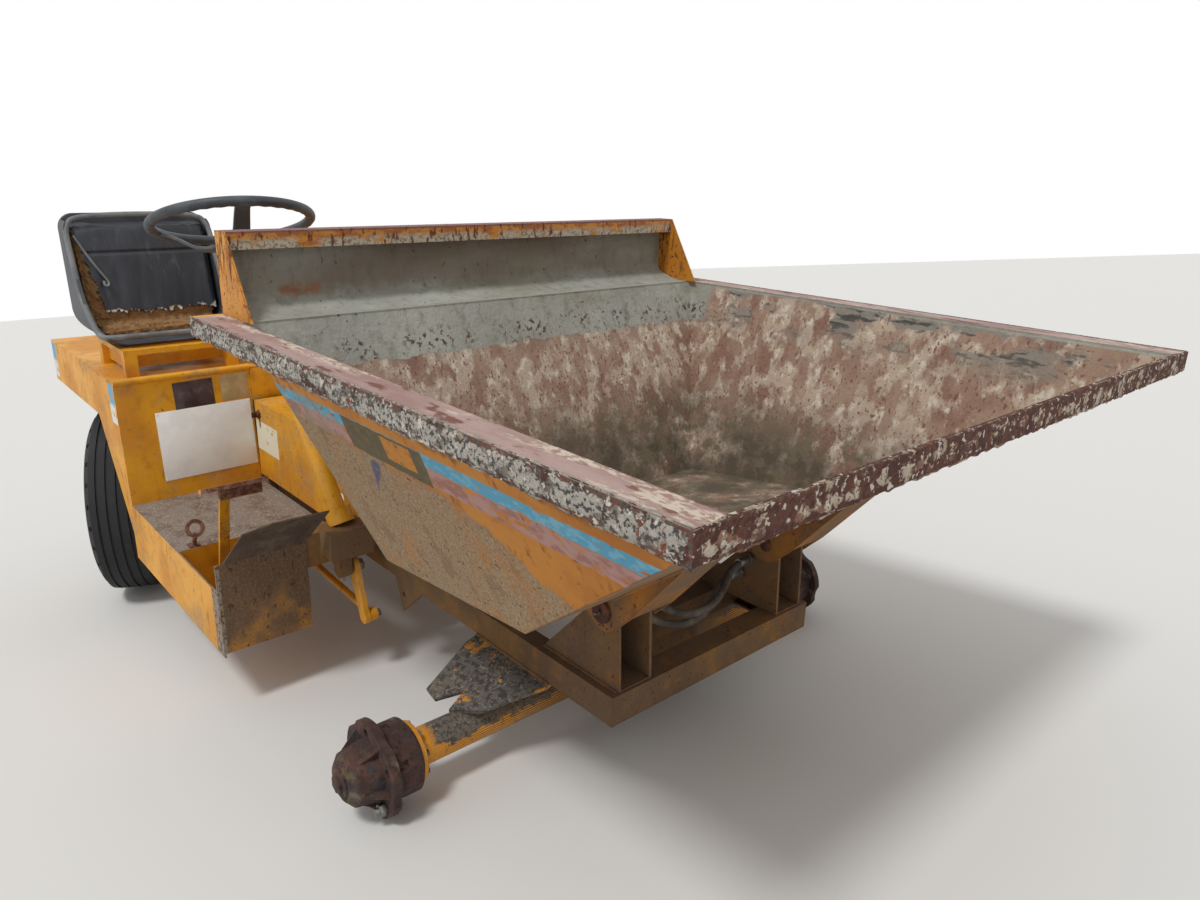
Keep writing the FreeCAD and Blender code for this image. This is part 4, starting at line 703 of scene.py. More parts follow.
@dataclass(frozen=True)
class RimTop:
    """Top of the folded rim: rubbed brown-mauve in the middle, cream mortar and rust towards its edges."""

    name: str = "rim_top_rubbed_primer"

    def make(self) -> bpy.types.Material:
        """The finished material."""
        s = Surface(self.name, "93716A", 0.62)
        s.lay(s.blotches(120, 0.40, 0.62, 5, (3, 1, 1)), "A98D85", 0.55)
        s.lay(s.blotches(26, 0.56, 0.64, 7, (3, 1, 1), 3.0), "70483D", 0.85)
        inner = s.combine("MAXIMUM", s.ramp(s.combine("ABSOLUTE", s.axis["y"], 0.0), 0.722, 0.702),
                          s.ramp(s.axis["x"], 0.50, 0.80))
        cream = s.both(inner, s.blotches(34, 0.49, 0.55, 9, (3, 1, 1), 5.0))
        s.lay(cream, "C9B9A9", 0.95)
        s.lay(s.both(cream, s.blotches(8, 0.48, 0.58, 6, (2, 1, 1), 1.0)), "9B7B70", 0.95)
        outer = s.both(s.ramp(s.combine("ABSOLUTE", s.axis["y"], 0.0), 0.736, 0.746), s.blotches(16, 0.42, 0.54, 6))
        s.lay(outer, "8A857A", 0.97)
        rear = s.both(s.ramp(s.axis["x"], -0.585, -0.60), s.ramp(s.combine("ABSOLUTE", s.axis["y"], 0.0), 0.68, 0.69))
        s.lay(s.both(rear, s.blotches(30, 0.32, 0.44, 5)), "D19A3C", 0.6)
        s.lay(s.both(s.edges(4.0), s.blotches(30, 0.35, 0.5, 4)), "5A2B22", 0.9)
        ledge = s.both(s.between("x", -640, -470, 1.0), s.between("y", -675, 675, 1.0))
        s.lay(ledge, "98988E", 0.93)
        s.relief(cream, 0.8, 0.8)
        s.relief(s.blotches(8, 0.35, 0.7, 5), 0.5, 0.6)
        return s.finished()


@dataclass(frozen=True)
class MortarCrust:
    """Set mortar splashed on steel: coarse, grey to cream, with rust bleeding through between the lumps."""

    name: str
    base: str
    mortar: str
    dark: str
    cover: float
    tips: str = "CFC8BB"

    def make(self) -> bpy.types.Material:
        """The finished material."""
        s = Surface(self.name, self.base, 0.9)
        s.lay(s.blotches(34, 0.48, 0.60, 5), "4C2820", 0.9)
        level = 0.64 - self.cover * 0.30
        s.lay(s.blotches(26, level, level + 0.06, 7, (1.6, 1.6, 1), 2.0), self.mortar, 0.97)
        s.lay(s.blotches(8, 0.50, 0.58, 5, shift=3.0), self.dark, 0.97)
        s.lay(s.blotches(13, 0.58, 0.63, 6, shift=7.0), self.tips, 0.97)
        s.lay(s.blotches(40, 0.65, 0.69, 5, (1, 1, 2), 9.0), "7C4A32", 0.9)
        s.relief(s.blotches(9, 0.30, 0.75, 7, shift=3.0), 2.4, 1.0)
        return s.finished()


@dataclass(frozen=True)
class GuardFold:
    """Folded top edge of the spill guard: a rubbed rust-brown top, orange paint below it, cream mortar lowest."""

    name: str = "guard_fold_enamel_and_mortar"

    def make(self) -> bpy.types.Material:
        """The finished material."""
        s = Surface(self.name, "C8842A", 0.6)
        s.lay(s.blotches(24, 0.44, 0.58, 6, (1, 2, 1)), "A8622A", 0.8)
        lower = s.both(s.ramp(s.axis["z"], 1.000, 0.984), s.blotches(30, 0.36, 0.48, 7, (1, 2, 1), 2.0))
        s.lay(lower, "BDB19C", 0.96)
        s.lay(s.both(lower, s.blotches(8, 0.50, 0.58, 5, shift=4.0)), "8A7C69", 0.96)
        top = s.both(s.ramp(s.axis["z"], 1.003, 1.008), s.blotches(60, 0.24, 0.40, 5, (1, 3, 1)))
        s.lay(top, "7E5750", 0.7)
        s.lay(s.both(s.blotches(12, 0.56, 0.62, 5, (1, 1, 3), 6.0), 0.9), "5F2E1E", 0.9)
        s.relief(s.blotches(8, 0.35, 0.7, 6), 0.8, 0.8)
        return s.finished()


@dataclass(frozen=True)
class Coating:
    """Plain moulded, woven or plated stuff: one colour with cloudy variation, fine grain, scuffs and dust."""

    name: str
    colour: str
    variation: str
    roughness: float
    metallic: float = 0.0
    grain: float = 3.0
    depth: float = 0.2
    dust: str = "9C8E7C"
    dusty: float = 0.2

    def make(self) -> bpy.types.Material:
        """The finished material."""
        s = Surface(self.name, self.colour, self.roughness, self.metallic)
        s.lay(s.blotches(80, 0.42, 0.62, 4), self.variation, min(1.0, self.roughness + 0.1))
        dust = s.both(s.blotches(50, 0.66 - self.dusty * 0.5, 0.85, 6, shift=4.0), 0.25 + self.dusty)
        s.lay(dust, self.dust, 0.95, 0.0)
        s.relief(s.blotches(self.grain, 0.35, 0.65, 3, shift=2.0), self.depth, 0.6)
        return s.finished()


@dataclass(frozen=True)
class CrackedVinyl:
    """Calendered PVC seat cover, grained like leather, chalky from the sun and creased."""

    name: str = "seat_cover_vinyl"

    def make(self) -> bpy.types.Material:
        """The finished material."""
        s = Surface(self.name, "23252B", 0.42)
        s.lay(s.blotches(110, 0.40, 0.66, 4, (1, 1, 3)), "3A3D45", 0.55)
        s.lay(s.both(s.blotches(30, 0.56, 0.75, 5, (1, 1, 4), 2.0), 0.6), "565A62", 0.7)
        s.lay(s.both(s.edges(3.0), s.blotches(16, 0.45, 0.6, 4)), "6E665C", 0.8)
        cells = add_node(s.tree, "ShaderNodeTexVoronoi", {"Vector": s.place, "Scale": 1000 / 2.4})
        s.relief(cells.outputs["Distance"], 0.12, 0.5)
        s.relief(s.blotches(22, 0.35, 0.65, 3, (1, 1, 5), 6.0), 1.0, 0.4)
        return s.finished()


@dataclass(frozen=True)
class PerishedFoam:
    """Open polyurethane foam gone brown and crumbly, with pores and torn ridges."""

    name: str = "seat_foam_perished"

    def make(self) -> bpy.types.Material:
        """The finished material."""
        s = Surface(self.name, "9A744A", 1.0)
        s.lay(s.blotches(40, 0.46, 0.66, 6), "815A36", 1.0)
        s.lay(s.blotches(12, 0.58, 0.70, 5, shift=2.0), "5E432B", 1.0)
        s.lay(s.blotches(20, 0.64, 0.72, 4, shift=5.0), "B99A70", 1.0)
        s.relief(s.blotches(6, 0.3, 0.7, 6, shift=1.0), 1.5, 1.0)
        return s.finished()


@dataclass(frozen=True)
class DeckPaint:
    """The driver's decks and consoles: yellow enamel with remains of blue and white tape on the skirts."""

    name: str = "deck_enamel"

    def make(self) -> bpy.types.Material:
        """The finished material."""
        s = WornPaint(self.name, chips=0.3, dusty=0.3).surface()
        for low, high in ((-2224, -2170), (-1470, -1408)):
            patch = s.both(s.between("x", low, high, 2.0, 5.0), s.between("z", 392, 512, 2.0, 4.0),
                           s.between("y", -760, -745.5, 1.0))
            kept = s.both(patch, s.blotches(24, 0.36, 0.44, 4))
            s.lay(s.both(kept, s.ramp(s.axis["z"], 0.44, 0.46)), "4FA3C4", 0.5)
            s.lay(s.both(kept, s.ramp(s.axis["z"], 0.46, 0.44)), "D9DDD8", 0.5)
        return s.finished()


@dataclass(frozen=True)
class FootwellPaint:
    """Footwell sheet: yellow enamel outside, grey-brown trodden dust on the floor, rust in the corners."""

    name: str = "footwell_enamel"

    def make(self) -> bpy.types.Material:
        """The finished material."""
        s = WornPaint(self.name, chips=0.5, dusty=0.35).surface()
        face = add_node(s.tree, "ShaderNodeNewGeometry")
        up = add_node(s.tree, "ShaderNodeSeparateXYZ", {0: face.outputs["Normal"]}).outputs["Z"]
        floor = s.ramp(up, 0.7, 0.9)
        s.lay(s.both(floor, s.blotches(90, 0.16, 0.30, 6)), "82756A", 0.97)
        s.lay(s.both(floor, s.blotches(70, 0.46, 0.64, 7, shift=3.0)), "6C5A4D", 0.95)
        s.lay(s.both(floor, s.blotches(6, 0.54, 0.64, 4, shift=8.0)), "A0958A", 0.97)
        front = s.both(s.between("x", -662, -645, 1.0), s.between("z", -60, 230, 2.0))
        mud = s.both(front, s.ramp(s.combine("ADD", s.axis["z"], s.combine("MULTIPLY", s.blotches(90, 0.3, 0.7, 7), 0.16)),
                                   0.02, 0.16))
        s.lay(s.both(front, 0.5), "8A5E2C", 0.9)
        s.lay(mud, "69513C", 0.95)
        s.lay(s.both(front, s.blotches(7, 0.46, 0.66, 5, shift=5.0)), "7B654E", 0.95)
        s.lay(s.both(front, s.blotches(12, 0.58, 0.66, 6, (1, 1, 2), 6.3)), "4F3827", 0.95)
        strip = s.both(s.between("x", -700, -650, 3.0, 14.0), s.between("y", -760, -740, 1.0))
        s.lay(s.both(strip, s.blotches(30, 0.26, 0.34, 6)), "8F8474", 0.97)
        s.lay(s.both(strip, s.blotches(12, 0.52, 0.58, 6, shift=2.0)), "6B4630", 0.95)
        s.relief(s.both(strip, s.blotches(14, 0.3, 0.7, 6)), 2.0, 0.8)
        return s.finished()


@dataclass(frozen=True)
class TunnelPaint:
    """Centre cover: yellow enamel with a white band across its side under the key switch."""

    name: str = "tunnel_enamel"

    def make(self) -> bpy.types.Material:
        """The finished material."""
        s = WornPaint(self.name, chips=0.45, dusty=0.3).surface()
        band = s.both(s.between("z", 255, 352, 2.0, 2.0), s.between("x", -1384, -1215, 2.0, 3.0),
                      s.between("y", -357, -353.5, 0.5))
        s.lay(s.both(band, s.blotches(40, 0.30, 0.38, 4)), "E9E2C8", 0.55)
        drip = s.both(s.between("x", -1358, -1346, 3.0, 5.0), s.between("z", 330, 376, 8.0, 10.0))
        s.lay(drip, "6B3420", 0.9)
        return s.finished()


@dataclass(frozen=True)
class CheekPaint(WornPaint):
    """Orange enamel on the spill guard's cheeks, scraped through to dark rust in upright streaks."""

    def make(self) -> bpy.types.Material:
        """The finished material."""
        s = self.surface()
        scraped = s.both(s.blotches(70, 0.44, 0.62, 4, (1, 1, 3), 1.3), s.blotches(11, 0.47, 0.54, 6, (1, 1, 5), 2.7))
        s.lay(scraped, "6A3A20", 0.9)
        s.lay(s.both(scraped, s.blotches(6, 0.5, 0.6, 4, shift=3.1)), "4A2516", 0.95)
        return s.finished()


@dataclass(frozen=True)
class GussetPaint:
    """Axle gusset under old mortar: grey crust over yellow paint that shows in patches and at the front edge."""

    name: str = "gusset_mortar_over_enamel"

    def make(self) -> bpy.types.Material:
        """The finished material."""
        s = Surface(self.name, "66605A", 0.97)
        s.lay(s.blotches(13, 0.44, 0.58, 8), "433E3B", 0.97)
        s.lay(s.blotches(9, 0.56, 0.66, 6, shift=6.0), "8F8980", 0.97)
        s.lay(s.both(s.blotches(90, 0.48, 0.60, 3, shift=2.6), s.blotches(12, 0.50, 0.60, 6, shift=1.0)), "7A6B54", 0.95)
        # Paint shows where the crust broke off, and all along the front edge
        front = s.ramp(s.axis["x"], 0.092, 0.102)
        bare = s.combine("MAXIMUM", s.blotches(58, 0.60, 0.625, 6, shift=3.0), s.both(front, s.blotches(18, 0.38, 0.48, 5)))
        s.lay(bare, "C4832A", 0.6)
        s.lay(s.both(bare, s.blotches(9, 0.56, 0.62, 5, shift=9.0)), "7A4428", 0.9)
        s.relief(s.blotches(13, 0.3, 0.75, 7), 2.0, 0.9)
        return s.finished()


@dataclass(frozen=True)
class PedalPaint:
    """Brake lever in yellow enamel whose pad and clutch ring are bare rust."""

    name: str = "pedal_enamel_and_rust"

    def make(self) -> bpy.types.Material:
        """The finished material."""
        s = WornPaint(self.name, chips=0.5, dusty=0.25).surface()
        pad = s.combine("MAXIMUM", s.both(s.ramp(s.axis["z"], 0.320, 0.323), s.ramp(s.axis["x"], -0.846, -0.843)),
                        s.ramp(s.axis["x"], -0.924, -0.928))
        pad = s.combine("MAXIMUM", pad, s.ramp(s.axis["z"], 0.348, 0.350))
        s.lay(pad, "6A4233", 0.9)
        s.lay(s.both(pad, s.blotches(14, 0.46, 0.58, 5)), "8A6350", 0.92)
        return s.finished()


class Finishes:
    """Every finish of the machine, made once."""

    def __init__(self) -> None:
        """Make the materials."""
        self.yellow = WornPaint("chassis_enamel_yellow").make()
        self.bracket = WornPaint("bracket_enamel_orange", paint="A86C20", faded="7E5528", dust="6C5844", chips=0.9,
                                 dusty=0.8, gloss=0.7).make()
        self.cheek = CheekPaint("cheek_enamel_orange", paint="D8921E", faded="C97F22", chips=1.0, dusty=0.2).make()
        self.pedal = PedalPaint().make()
        self.deck = DeckPaint().make()
        self.footwell = FootwellPaint().make()
        self.tunnel = TunnelPaint().make()
        self.gusset = GussetPaint().make()
        self.frame = WornPaint("frame_enamel_under_dust", paint="84602F", faded="644A33", dust="66523F", chips=0.8,
                               dusty=0.85, gloss=0.85).make()
        self.skip_side = SkipSide().make()
        self.skip_under = WornPaint("skip_underside", paint="96682F", faded="775B3F", dust="74614B", chips=0.75,
                                    dusty=0.9, gloss=0.85).make()
        self.skip_inside = SkipInside().make()
        self.rim_top = RimTop().make()
        self.rim_face = MortarCrust("rim_face_rust_and_mortar", "74493A", "A19A8E", "5A554F", 0.35).make()
        self.rim_crust = MortarCrust("rim_mortar_grey", "7C756B", "AFA99F", "4B4845", 0.75).make()
        self.lip = MortarCrust("lip_bar_rust_and_mortar", "60392C", "B3A18D", "4A2A21", 0.25).make()
        self.lip_crust = MortarCrust("lip_mortar_cream", "8A6654", "BDAF9C", "6E4C3D", 0.60).make()
        self.guard_fold = GuardFold().make()
        self.rust = BareRust("forged_steel_rust").make()
        # Toe flap: rust and dust whose tones are darkened and greyed as painted shade, the look of its shadowed front
        # face
        self.flap = BareRust("flap_steel_rust", body="4B3B2F", light="5C4A3B", dark="3B2E25", dust="6E6051", dusty=0.45,
                             pits=8).make()
        self.hub = HubIron("hub_cast_iron_rust", body="3D2924", light="5C3F36", dust="7C7263", dusty=0.25,
                           pits=9).make()
        self.axle = AxlePaint().make()
        self.rubber = Coating("tyre_rubber_weathered", "1B1C1E", "26272A", 0.72, grain=4, depth=0.25, dust="57524C",
                              dusty=0.18).make()
        self.vinyl = CrackedVinyl().make()
        self.foam = PerishedFoam().make()
        self.plastic = Coating("steering_wheel_hard_rubber", "34383D", "4C5157", 0.5, grain=1.6, depth=0.1,
                               dusty=0.25).make()
        self.shell = Coating("seat_shell_polypropylene", "3B3D42", "4A4C51", 0.5, grain=2.2, depth=0.12,
                             dusty=0.15).make()
        self.piping = Coating("seat_piping_grey_vinyl", "626467", "7D7F80", 0.5, grain=1.5, depth=0.08).make()
        self.scrim = Coating("seat_scrim_cotton", "D8D4CA", "B7AFA0", 0.95, grain=1.2, depth=0.2, dusty=0.4).make()
        self.chrome = Coating("ram_rod_hard_chrome", "B9BBBD", "9A9A98", 0.22, 1.0, 6, 0.03, dusty=0.3).make()
        self.hose = Coating("hydraulic_hose_rubber", "544C46", "433B35", 0.9, grain=2.4, depth=0.25, dusty=0.5).make()
        self.engine = Coating("engine_cast_iron_oily", "3E4244", "2B2A28", 0.55, 0.4, 5, 0.3, dusty=0.6).make()
        self.zinc = Coating("bolt_zinc_dull", "8C8A86", "6A625A", 0.45, 0.9, 2, 0.08, dusty=0.4).make()
        self.white_panel = Coating("panel_white_enamel", "F5F5F2", "ECECEA", 0.4, grain=5, depth=0.05, dusty=0.04).make()
        self.dark_plate = Coating("plate_anodised_dark", "4A3F44", "5A4C50", 0.4, 0.6, 1.5, 0.05, dusty=0.3).make()
        self.pale_plate = Coating("plate_anodised_pale", "C9B48A", "B79C6E", 0.45, 0.3, 1.5, 0.05, dusty=0.3).make()
        self.rust_lumps = BareRust("rust_scale_orange", body="8A4B25", light="B8743A", dark="4A2416", pits=8).make()


class CarriedOver:
    """The CAD nodes that are shown as they are, with their finishes."""

    def __init__(self, finishes: Finishes) -> None:
        """Keep the finishes at hand."""
        self.f = finishes

    def whole(self) -> dict[str, bpy.types.Material]:
        """Finish of each node that has only one."""
        f = self.f
        named = {
            f.yellow: ("hydraulic_tank", "engine_cover", "rear_plate", "seat_frame", "steering_column", "rear_rim_R",
                       "rear_rim_L", "drop_arm", "drag_link"),
            f.pedal: ("pedals",),
            f.deck: ("decks", "consoles"),
            f.footwell: ("footwell",),
            f.tunnel: ("centre_cover",),
            f.gusset: ("axle_gussets",),
            f.bracket: ("skip_pivot_brackets", "skip_ram_bracket"),
            f.cheek: ("skip_cheeks",),
            f.frame: ("chassis_frame", "uprights", "skip_rests", "axle_hanger", "rear_axle_beam", "ram_barrel",
                      "steering_box"),
            f.rust: ("knuckle_R", "knuckle_L", "rear_tie_rod", "drive_shaft", "skip_pivot_pins"),
            f.flap: ("toe_flap",),
            f.hub: ("front_hub_R", "front_hub_L"),
            f.chrome: ("ram_rod",),
            f.engine: ("engine_block",),
            f.shell: ("seat_shell",),
            f.vinyl: ("seat_cushion",),
            f.hose: ("tip_hoses",),
            f.plastic: ("steering_wheel",),
            f.rubber: ("rear_tyre_R", "rear_tyre_L"),
        }
        return {node: finish for finish, nodes in named.items() for node in nodes}

    def dress(self) -> None:
        """Give every node its finish, by face where it has several."""
        for node, finish in self.whole().items():
            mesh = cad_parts[node].data
            mesh.materials.clear()
            mesh.materials.append(finish)
        f = self.f
        self.by_face("skip_tub", [f.skip_inside, f.skip_side, f.skip_under], self.tub_face)
        self.by_face("skip_rim", [f.rim_top, f.rim_face, f.lip, f.skip_inside, f.skip_under], self.rim_face)
        self.by_face("skip_back_plate", [f.skip_inside, f.guard_fold, f.cheek], self.guard_face)
        self.by_face("front_axle", [f.axle, f.frame], self.axle_face)

    def by_face(
        self, node: str, finishes: list[bpy.types.Material], choose: Callable[[Vector, Vector], int],
    ) -> None:
        """Give the faces of a node different finishes.

        Args:
            node: Name of the CAD node.
            finishes: Its finishes.
            choose: Number of the finish for a face's outward normal and middle, in the machine's frame.
        """
        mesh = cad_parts[node].data
        mesh.materials.clear()
        for finish in finishes:
            mesh.materials.append(finish)
        turn = TO_MACHINE.to_3x3()
        for face in mesh.polygons:
            face.material_index = choose(turn @ face.normal, (TO_MACHINE @ face.center) * 1000)

    @staticmethod
    def tub_face(normal: Vector, middle: Vector) -> int:
        """Inside, side or underside of the tub."""
        if normal.z > 0.05:
            return 0
        return 1 if abs(normal.y) > 0.6 else 2

    @staticmethod
    def rim_face(normal: Vector, middle: Vector) -> int:
        """Top, outer side, lip, inner edge or underside of the rim."""
        if normal.z > 0.9:
            return 2 if middle.x > 850 else 0
        if normal.z < -0.9:
            return 4
        if middle.x > 850:
            return 2
        outward = abs(middle.y) > 740 and abs(normal.y) > 0.9
        return 1 if outward or middle.x < -605 else 3

    @staticmethod
    def guard_face(normal: Vector, middle: Vector) -> int:
        """Front of the spill guard, its fold, or its back."""
        if normal.x > 0.9 and middle.z < 965:
            return 0
        return 1 if middle.z > 960 and (normal.z > 0.5 or normal.x > 0.5) else 2

    @staticmethod
    def axle_face(normal: Vector, middle: Vector) -> int:
        """Flange and tube end beside the hubs, or the middle of the axle."""
        return 0 if abs(middle.y) > 400 else 1


# Sub-assemblies

@dataclass
class SteeringWheel:
    """Hard rubber wheel, knocked out of square: a round rim with finger grips and a dished three-arm spider."""

    finishes: Finishes
    centre: Point = (-1003.0, -500.0, 998.0)
    axis: Point = (-0.33, 0.045, 1.0)
    radius: float = 208.0
    rim: float = 13.0
    dish: float = 58.0
    first_arm: float = 50.0

    def frame_matrix(self) -> Matrix:
        """Place of the wheel: its own z along its axis."""
        out = Vector(self.axis).normalized()
        across = out.cross(Vector((0, 1, 0))).normalized()
        matrix = Matrix((across, out.cross(across), out)).transposed().to_4x4()
        matrix.translation = Vector(self.centre) / 1000
        return matrix

    def ring(self) -> bpy.types.Object:
        """Round rim with shallow finger grips underneath."""
        deselect()
        bpy.ops.mesh.primitive_torus_add(
            major_segments=144, minor_segments=20, major_radius=(self.radius - self.rim) / 1000,
            minor_radius=self.rim / 1000,
        )
        ring = bpy.context.object
        for vertex in ring.data.vertices:
            angle = math.atan2(vertex.co.y, vertex.co.x)
            under = max(0.0, -vertex.co.z / (self.rim / 1000))
            vertex.co.z += under * 0.0018 * (0.5 + 0.5 * math.cos(36 * angle))
        return ring

    def arm(self) -> bpy.types.Object:
        """One flat arm that dips from the rim to the hub and widens towards it."""
        reach = self.radius - self.rim
        arm = block((20, -17, -8), (reach, 17, 2), 2.5, 3)
        edit(arm)
        bpy.ops.mesh.subdivide(number_cuts=6)
        done_editing()
        for vertex in arm.data.vertices:
            share = max(0.0, 1 - vertex.co.x * 1000 / reach)
            dip = min(1.0, share / 0.62)
            vertex.co.z -= self.dish / 1000 * (3 * dip ** 2 - 2 * dip ** 3)
            vertex.co.y *= 1 + 0.5 * share
        return arm

    def build(self) -> None:
        """Model the wheel in its own frame and set it on the column."""
        arm = self.arm()
        pieces = [self.ring()]
        pieces += [copied(arm, Matrix.Rotation(math.radians(self.first_arm + turn), 4, "Z")) for turn in (0, 120)]
        arm.data.transform(Matrix.Rotation(math.radians(self.first_arm + 240), 4, "Z"))
        pieces.append(arm)
        pieces.append(round_bar((0, 0, -self.dish - 20), (0, 0, -self.dish + 6), 38, 48, 5))
        pieces.append(round_bar((0, 0, -self.dish + 4), (0, 0, -self.dish + 12), 25, 48, 3))
        placed(joined(pieces), "steering_wheel_moulded", "chassis", self.finishes.plastic,
               world=TO_WORLD @ self.frame_matrix())
        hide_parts("steering_wheel")


@dataclass
class RearTyre:
    """Bald road tyre on one rear wheel: ribbed crown, cut shoulders, bulged walls and beads behind the rim."""

    finishes: Finishes
    side: Side
    kingpin_y: float = 515.0
    wheel_y: float = 650.0
    steer: float = 24.0
    radius: float = 320.0
    half_width: float = 92.0
    steps: int = 108
    grooves: tuple[float, ...] = (-44.0, -15.0, 15.0, 44.0)

    def outline(self) -> list[tuple[float, float]]:
        """Section of the tyre as (distance along the axle, radius) pairs."""
        r, w = self.radius, self.half_width
        wall = [
            (31, 152.4), (50, 152.4), (55, 156), (56, 165), (61, 172), (72, 182), (83, 200), (90, 224), (w, 246),
            (w - 2, 268), (w - 6, 286), (w - 13, 300), (w - 21, 308),
        ]
        crown = []
        for groove in reversed(self.grooves):
            top = r - 1 - 3.5 * (groove / 70) ** 2
            crown += [(groove + 4, top), (groove + 3, top - 5), (groove - 3, top - 5), (groove - 4, top)]
        crown = [(w - 24, r - 5.2)] + crown + [(24 - w, r - 5.2)]
        inside = [(-33, 196), (-60, 240), (-58, 280), (0, 296), (58, 280), (60, 240), (33, 196)]
        return wall + crown + [(-y, radius) for y, radius in reversed(wall)] + inside

    def build(self) -> None:
        """Model the tyre straight ahead, cut its shoulders and turn it with its wheel."""
        centre = (REAR_AXLE_X, self.side.value * self.wheel_y, 0.0)
        tyre = spun(self.outline(), self.steps, (0, 0, 0))
        shoulder = (self.half_width - 23) / 1000, (self.half_width - 12) / 1000
        pitch = math.tau / self.steps

        def slot(face: bpy.types.MeshPolygon) -> bool:
            """Every third face of both shoulders."""
            middle = face.center
            outer = math.hypot(middle.x, middle.z) > 0.299
            turn = round(math.atan2(middle.z, middle.x) / pitch - 0.5)
            return outer and shoulder[0] < abs(middle.y) < shoulder[1] and turn % 4 == 0

        edit(tyre, slot)
        bpy.ops.mesh.inset(thickness=0.0012, use_individual=True)
        bpy.ops.mesh.extrude_region_shrink_fatten(TRANSFORM_OT_shrink_fatten={"value": -0.004})
        done_editing()
        tyre.data.transform(Matrix.Translation(Vector(centre) / 1000))
        turn = about((REAR_AXLE_X, self.side.value * self.kingpin_y, 0), -self.steer, "Z")
        letter = self.side.name[0]
        placed(tyre, "road_tyre_" + letter, "rear_wheel_" + letter, self.finishes.rubber, 40.0,
               TO_WORLD @ turn)
        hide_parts("rear_tyre_" + letter)
        self.nuts(TO_WORLD @ turn, letter)

    def nuts(self, world: Matrix, letter: str) -> None:
        """Five wheel nuts on their studs, on the disc of the rim."""
        sign = self.side.value
        face = self.wheel_y + 62 - 20
        stud = round_bar((0, sign * (face - 6), 80), (0, sign * (face + 22), 80), 7, 16, 1.5)
        nut = round_bar((0, sign * (face - 4), 80), (0, sign * (face + 12), 80), 13.5, 6, 1.5)
        one = joined([nut, stud])
        rest = [copied(one, Matrix.Rotation(math.radians(72 * index), 4, "Y")) for index in range(1, 5)]
        nuts = joined([one] + rest)
        nuts.data.transform(Matrix.Translation((REAR_AXLE_X / 1000, 0, 0)))
        placed(nuts, "wheel_nuts_" + letter, "rear_wheel_" + letter, self.finishes.rust, world=world)


@dataclass
class HubDress:
    """What is left on a bare front hub: one bolt through its lowest hole, and the cap's nut in the middle."""

    finishes: Finishes
    side: Side
    flange_y: float = 683.0
    flange_t: float = 18.0
    end_y: float = 755.0
    circle: float = 160.0
    lean: float = 7.016

    def build(self) -> None:
        """Model the bolt and the end nut."""
        sign, letter = self.side.value, self.side.name[0]
        out = sign * (self.flange_y + self.flange_t / 2)
        inside = sign * (self.flange_y - self.flange_t / 2)
        if self.side is Side.RIGHT:
            radius = self.circle / 2
            shank = round_bar((0, inside - sign * 18, -radius), (0, out + sign * 22, -radius), 8.2, 20, 1)
            nut = round_bar((0, out, -radius), (0, out + sign * 14, -radius), 14, 6, 1.5)
            head = round_bar((0, inside, -radius), (0, inside - sign * 10, -radius), 14, 6, 1.5)
            bolt = joined([shank, nut, head])
            turn = Matrix.Rotation(math.radians(-self.lean - 36), 4, "Y")
            placed(bolt, "hub_bolt_" + letter, "front_hub_" + letter, self.finishes.zinc,
                   world=TO_WORLD @ turn)
        end = sign * self.end_y
        ring = round_bar((0, end - sign * 4, 0), (0, end + sign * 5, 0), 30, 40, 2)
        nut = round_bar((0, end, 0), (0, end + sign * 12, 0), 19, 6, 2)
        cap = joined([ring, nut])
        placed(cap, "hub_cap_" + letter, "front_hub_" + letter, self.finishes.hub)


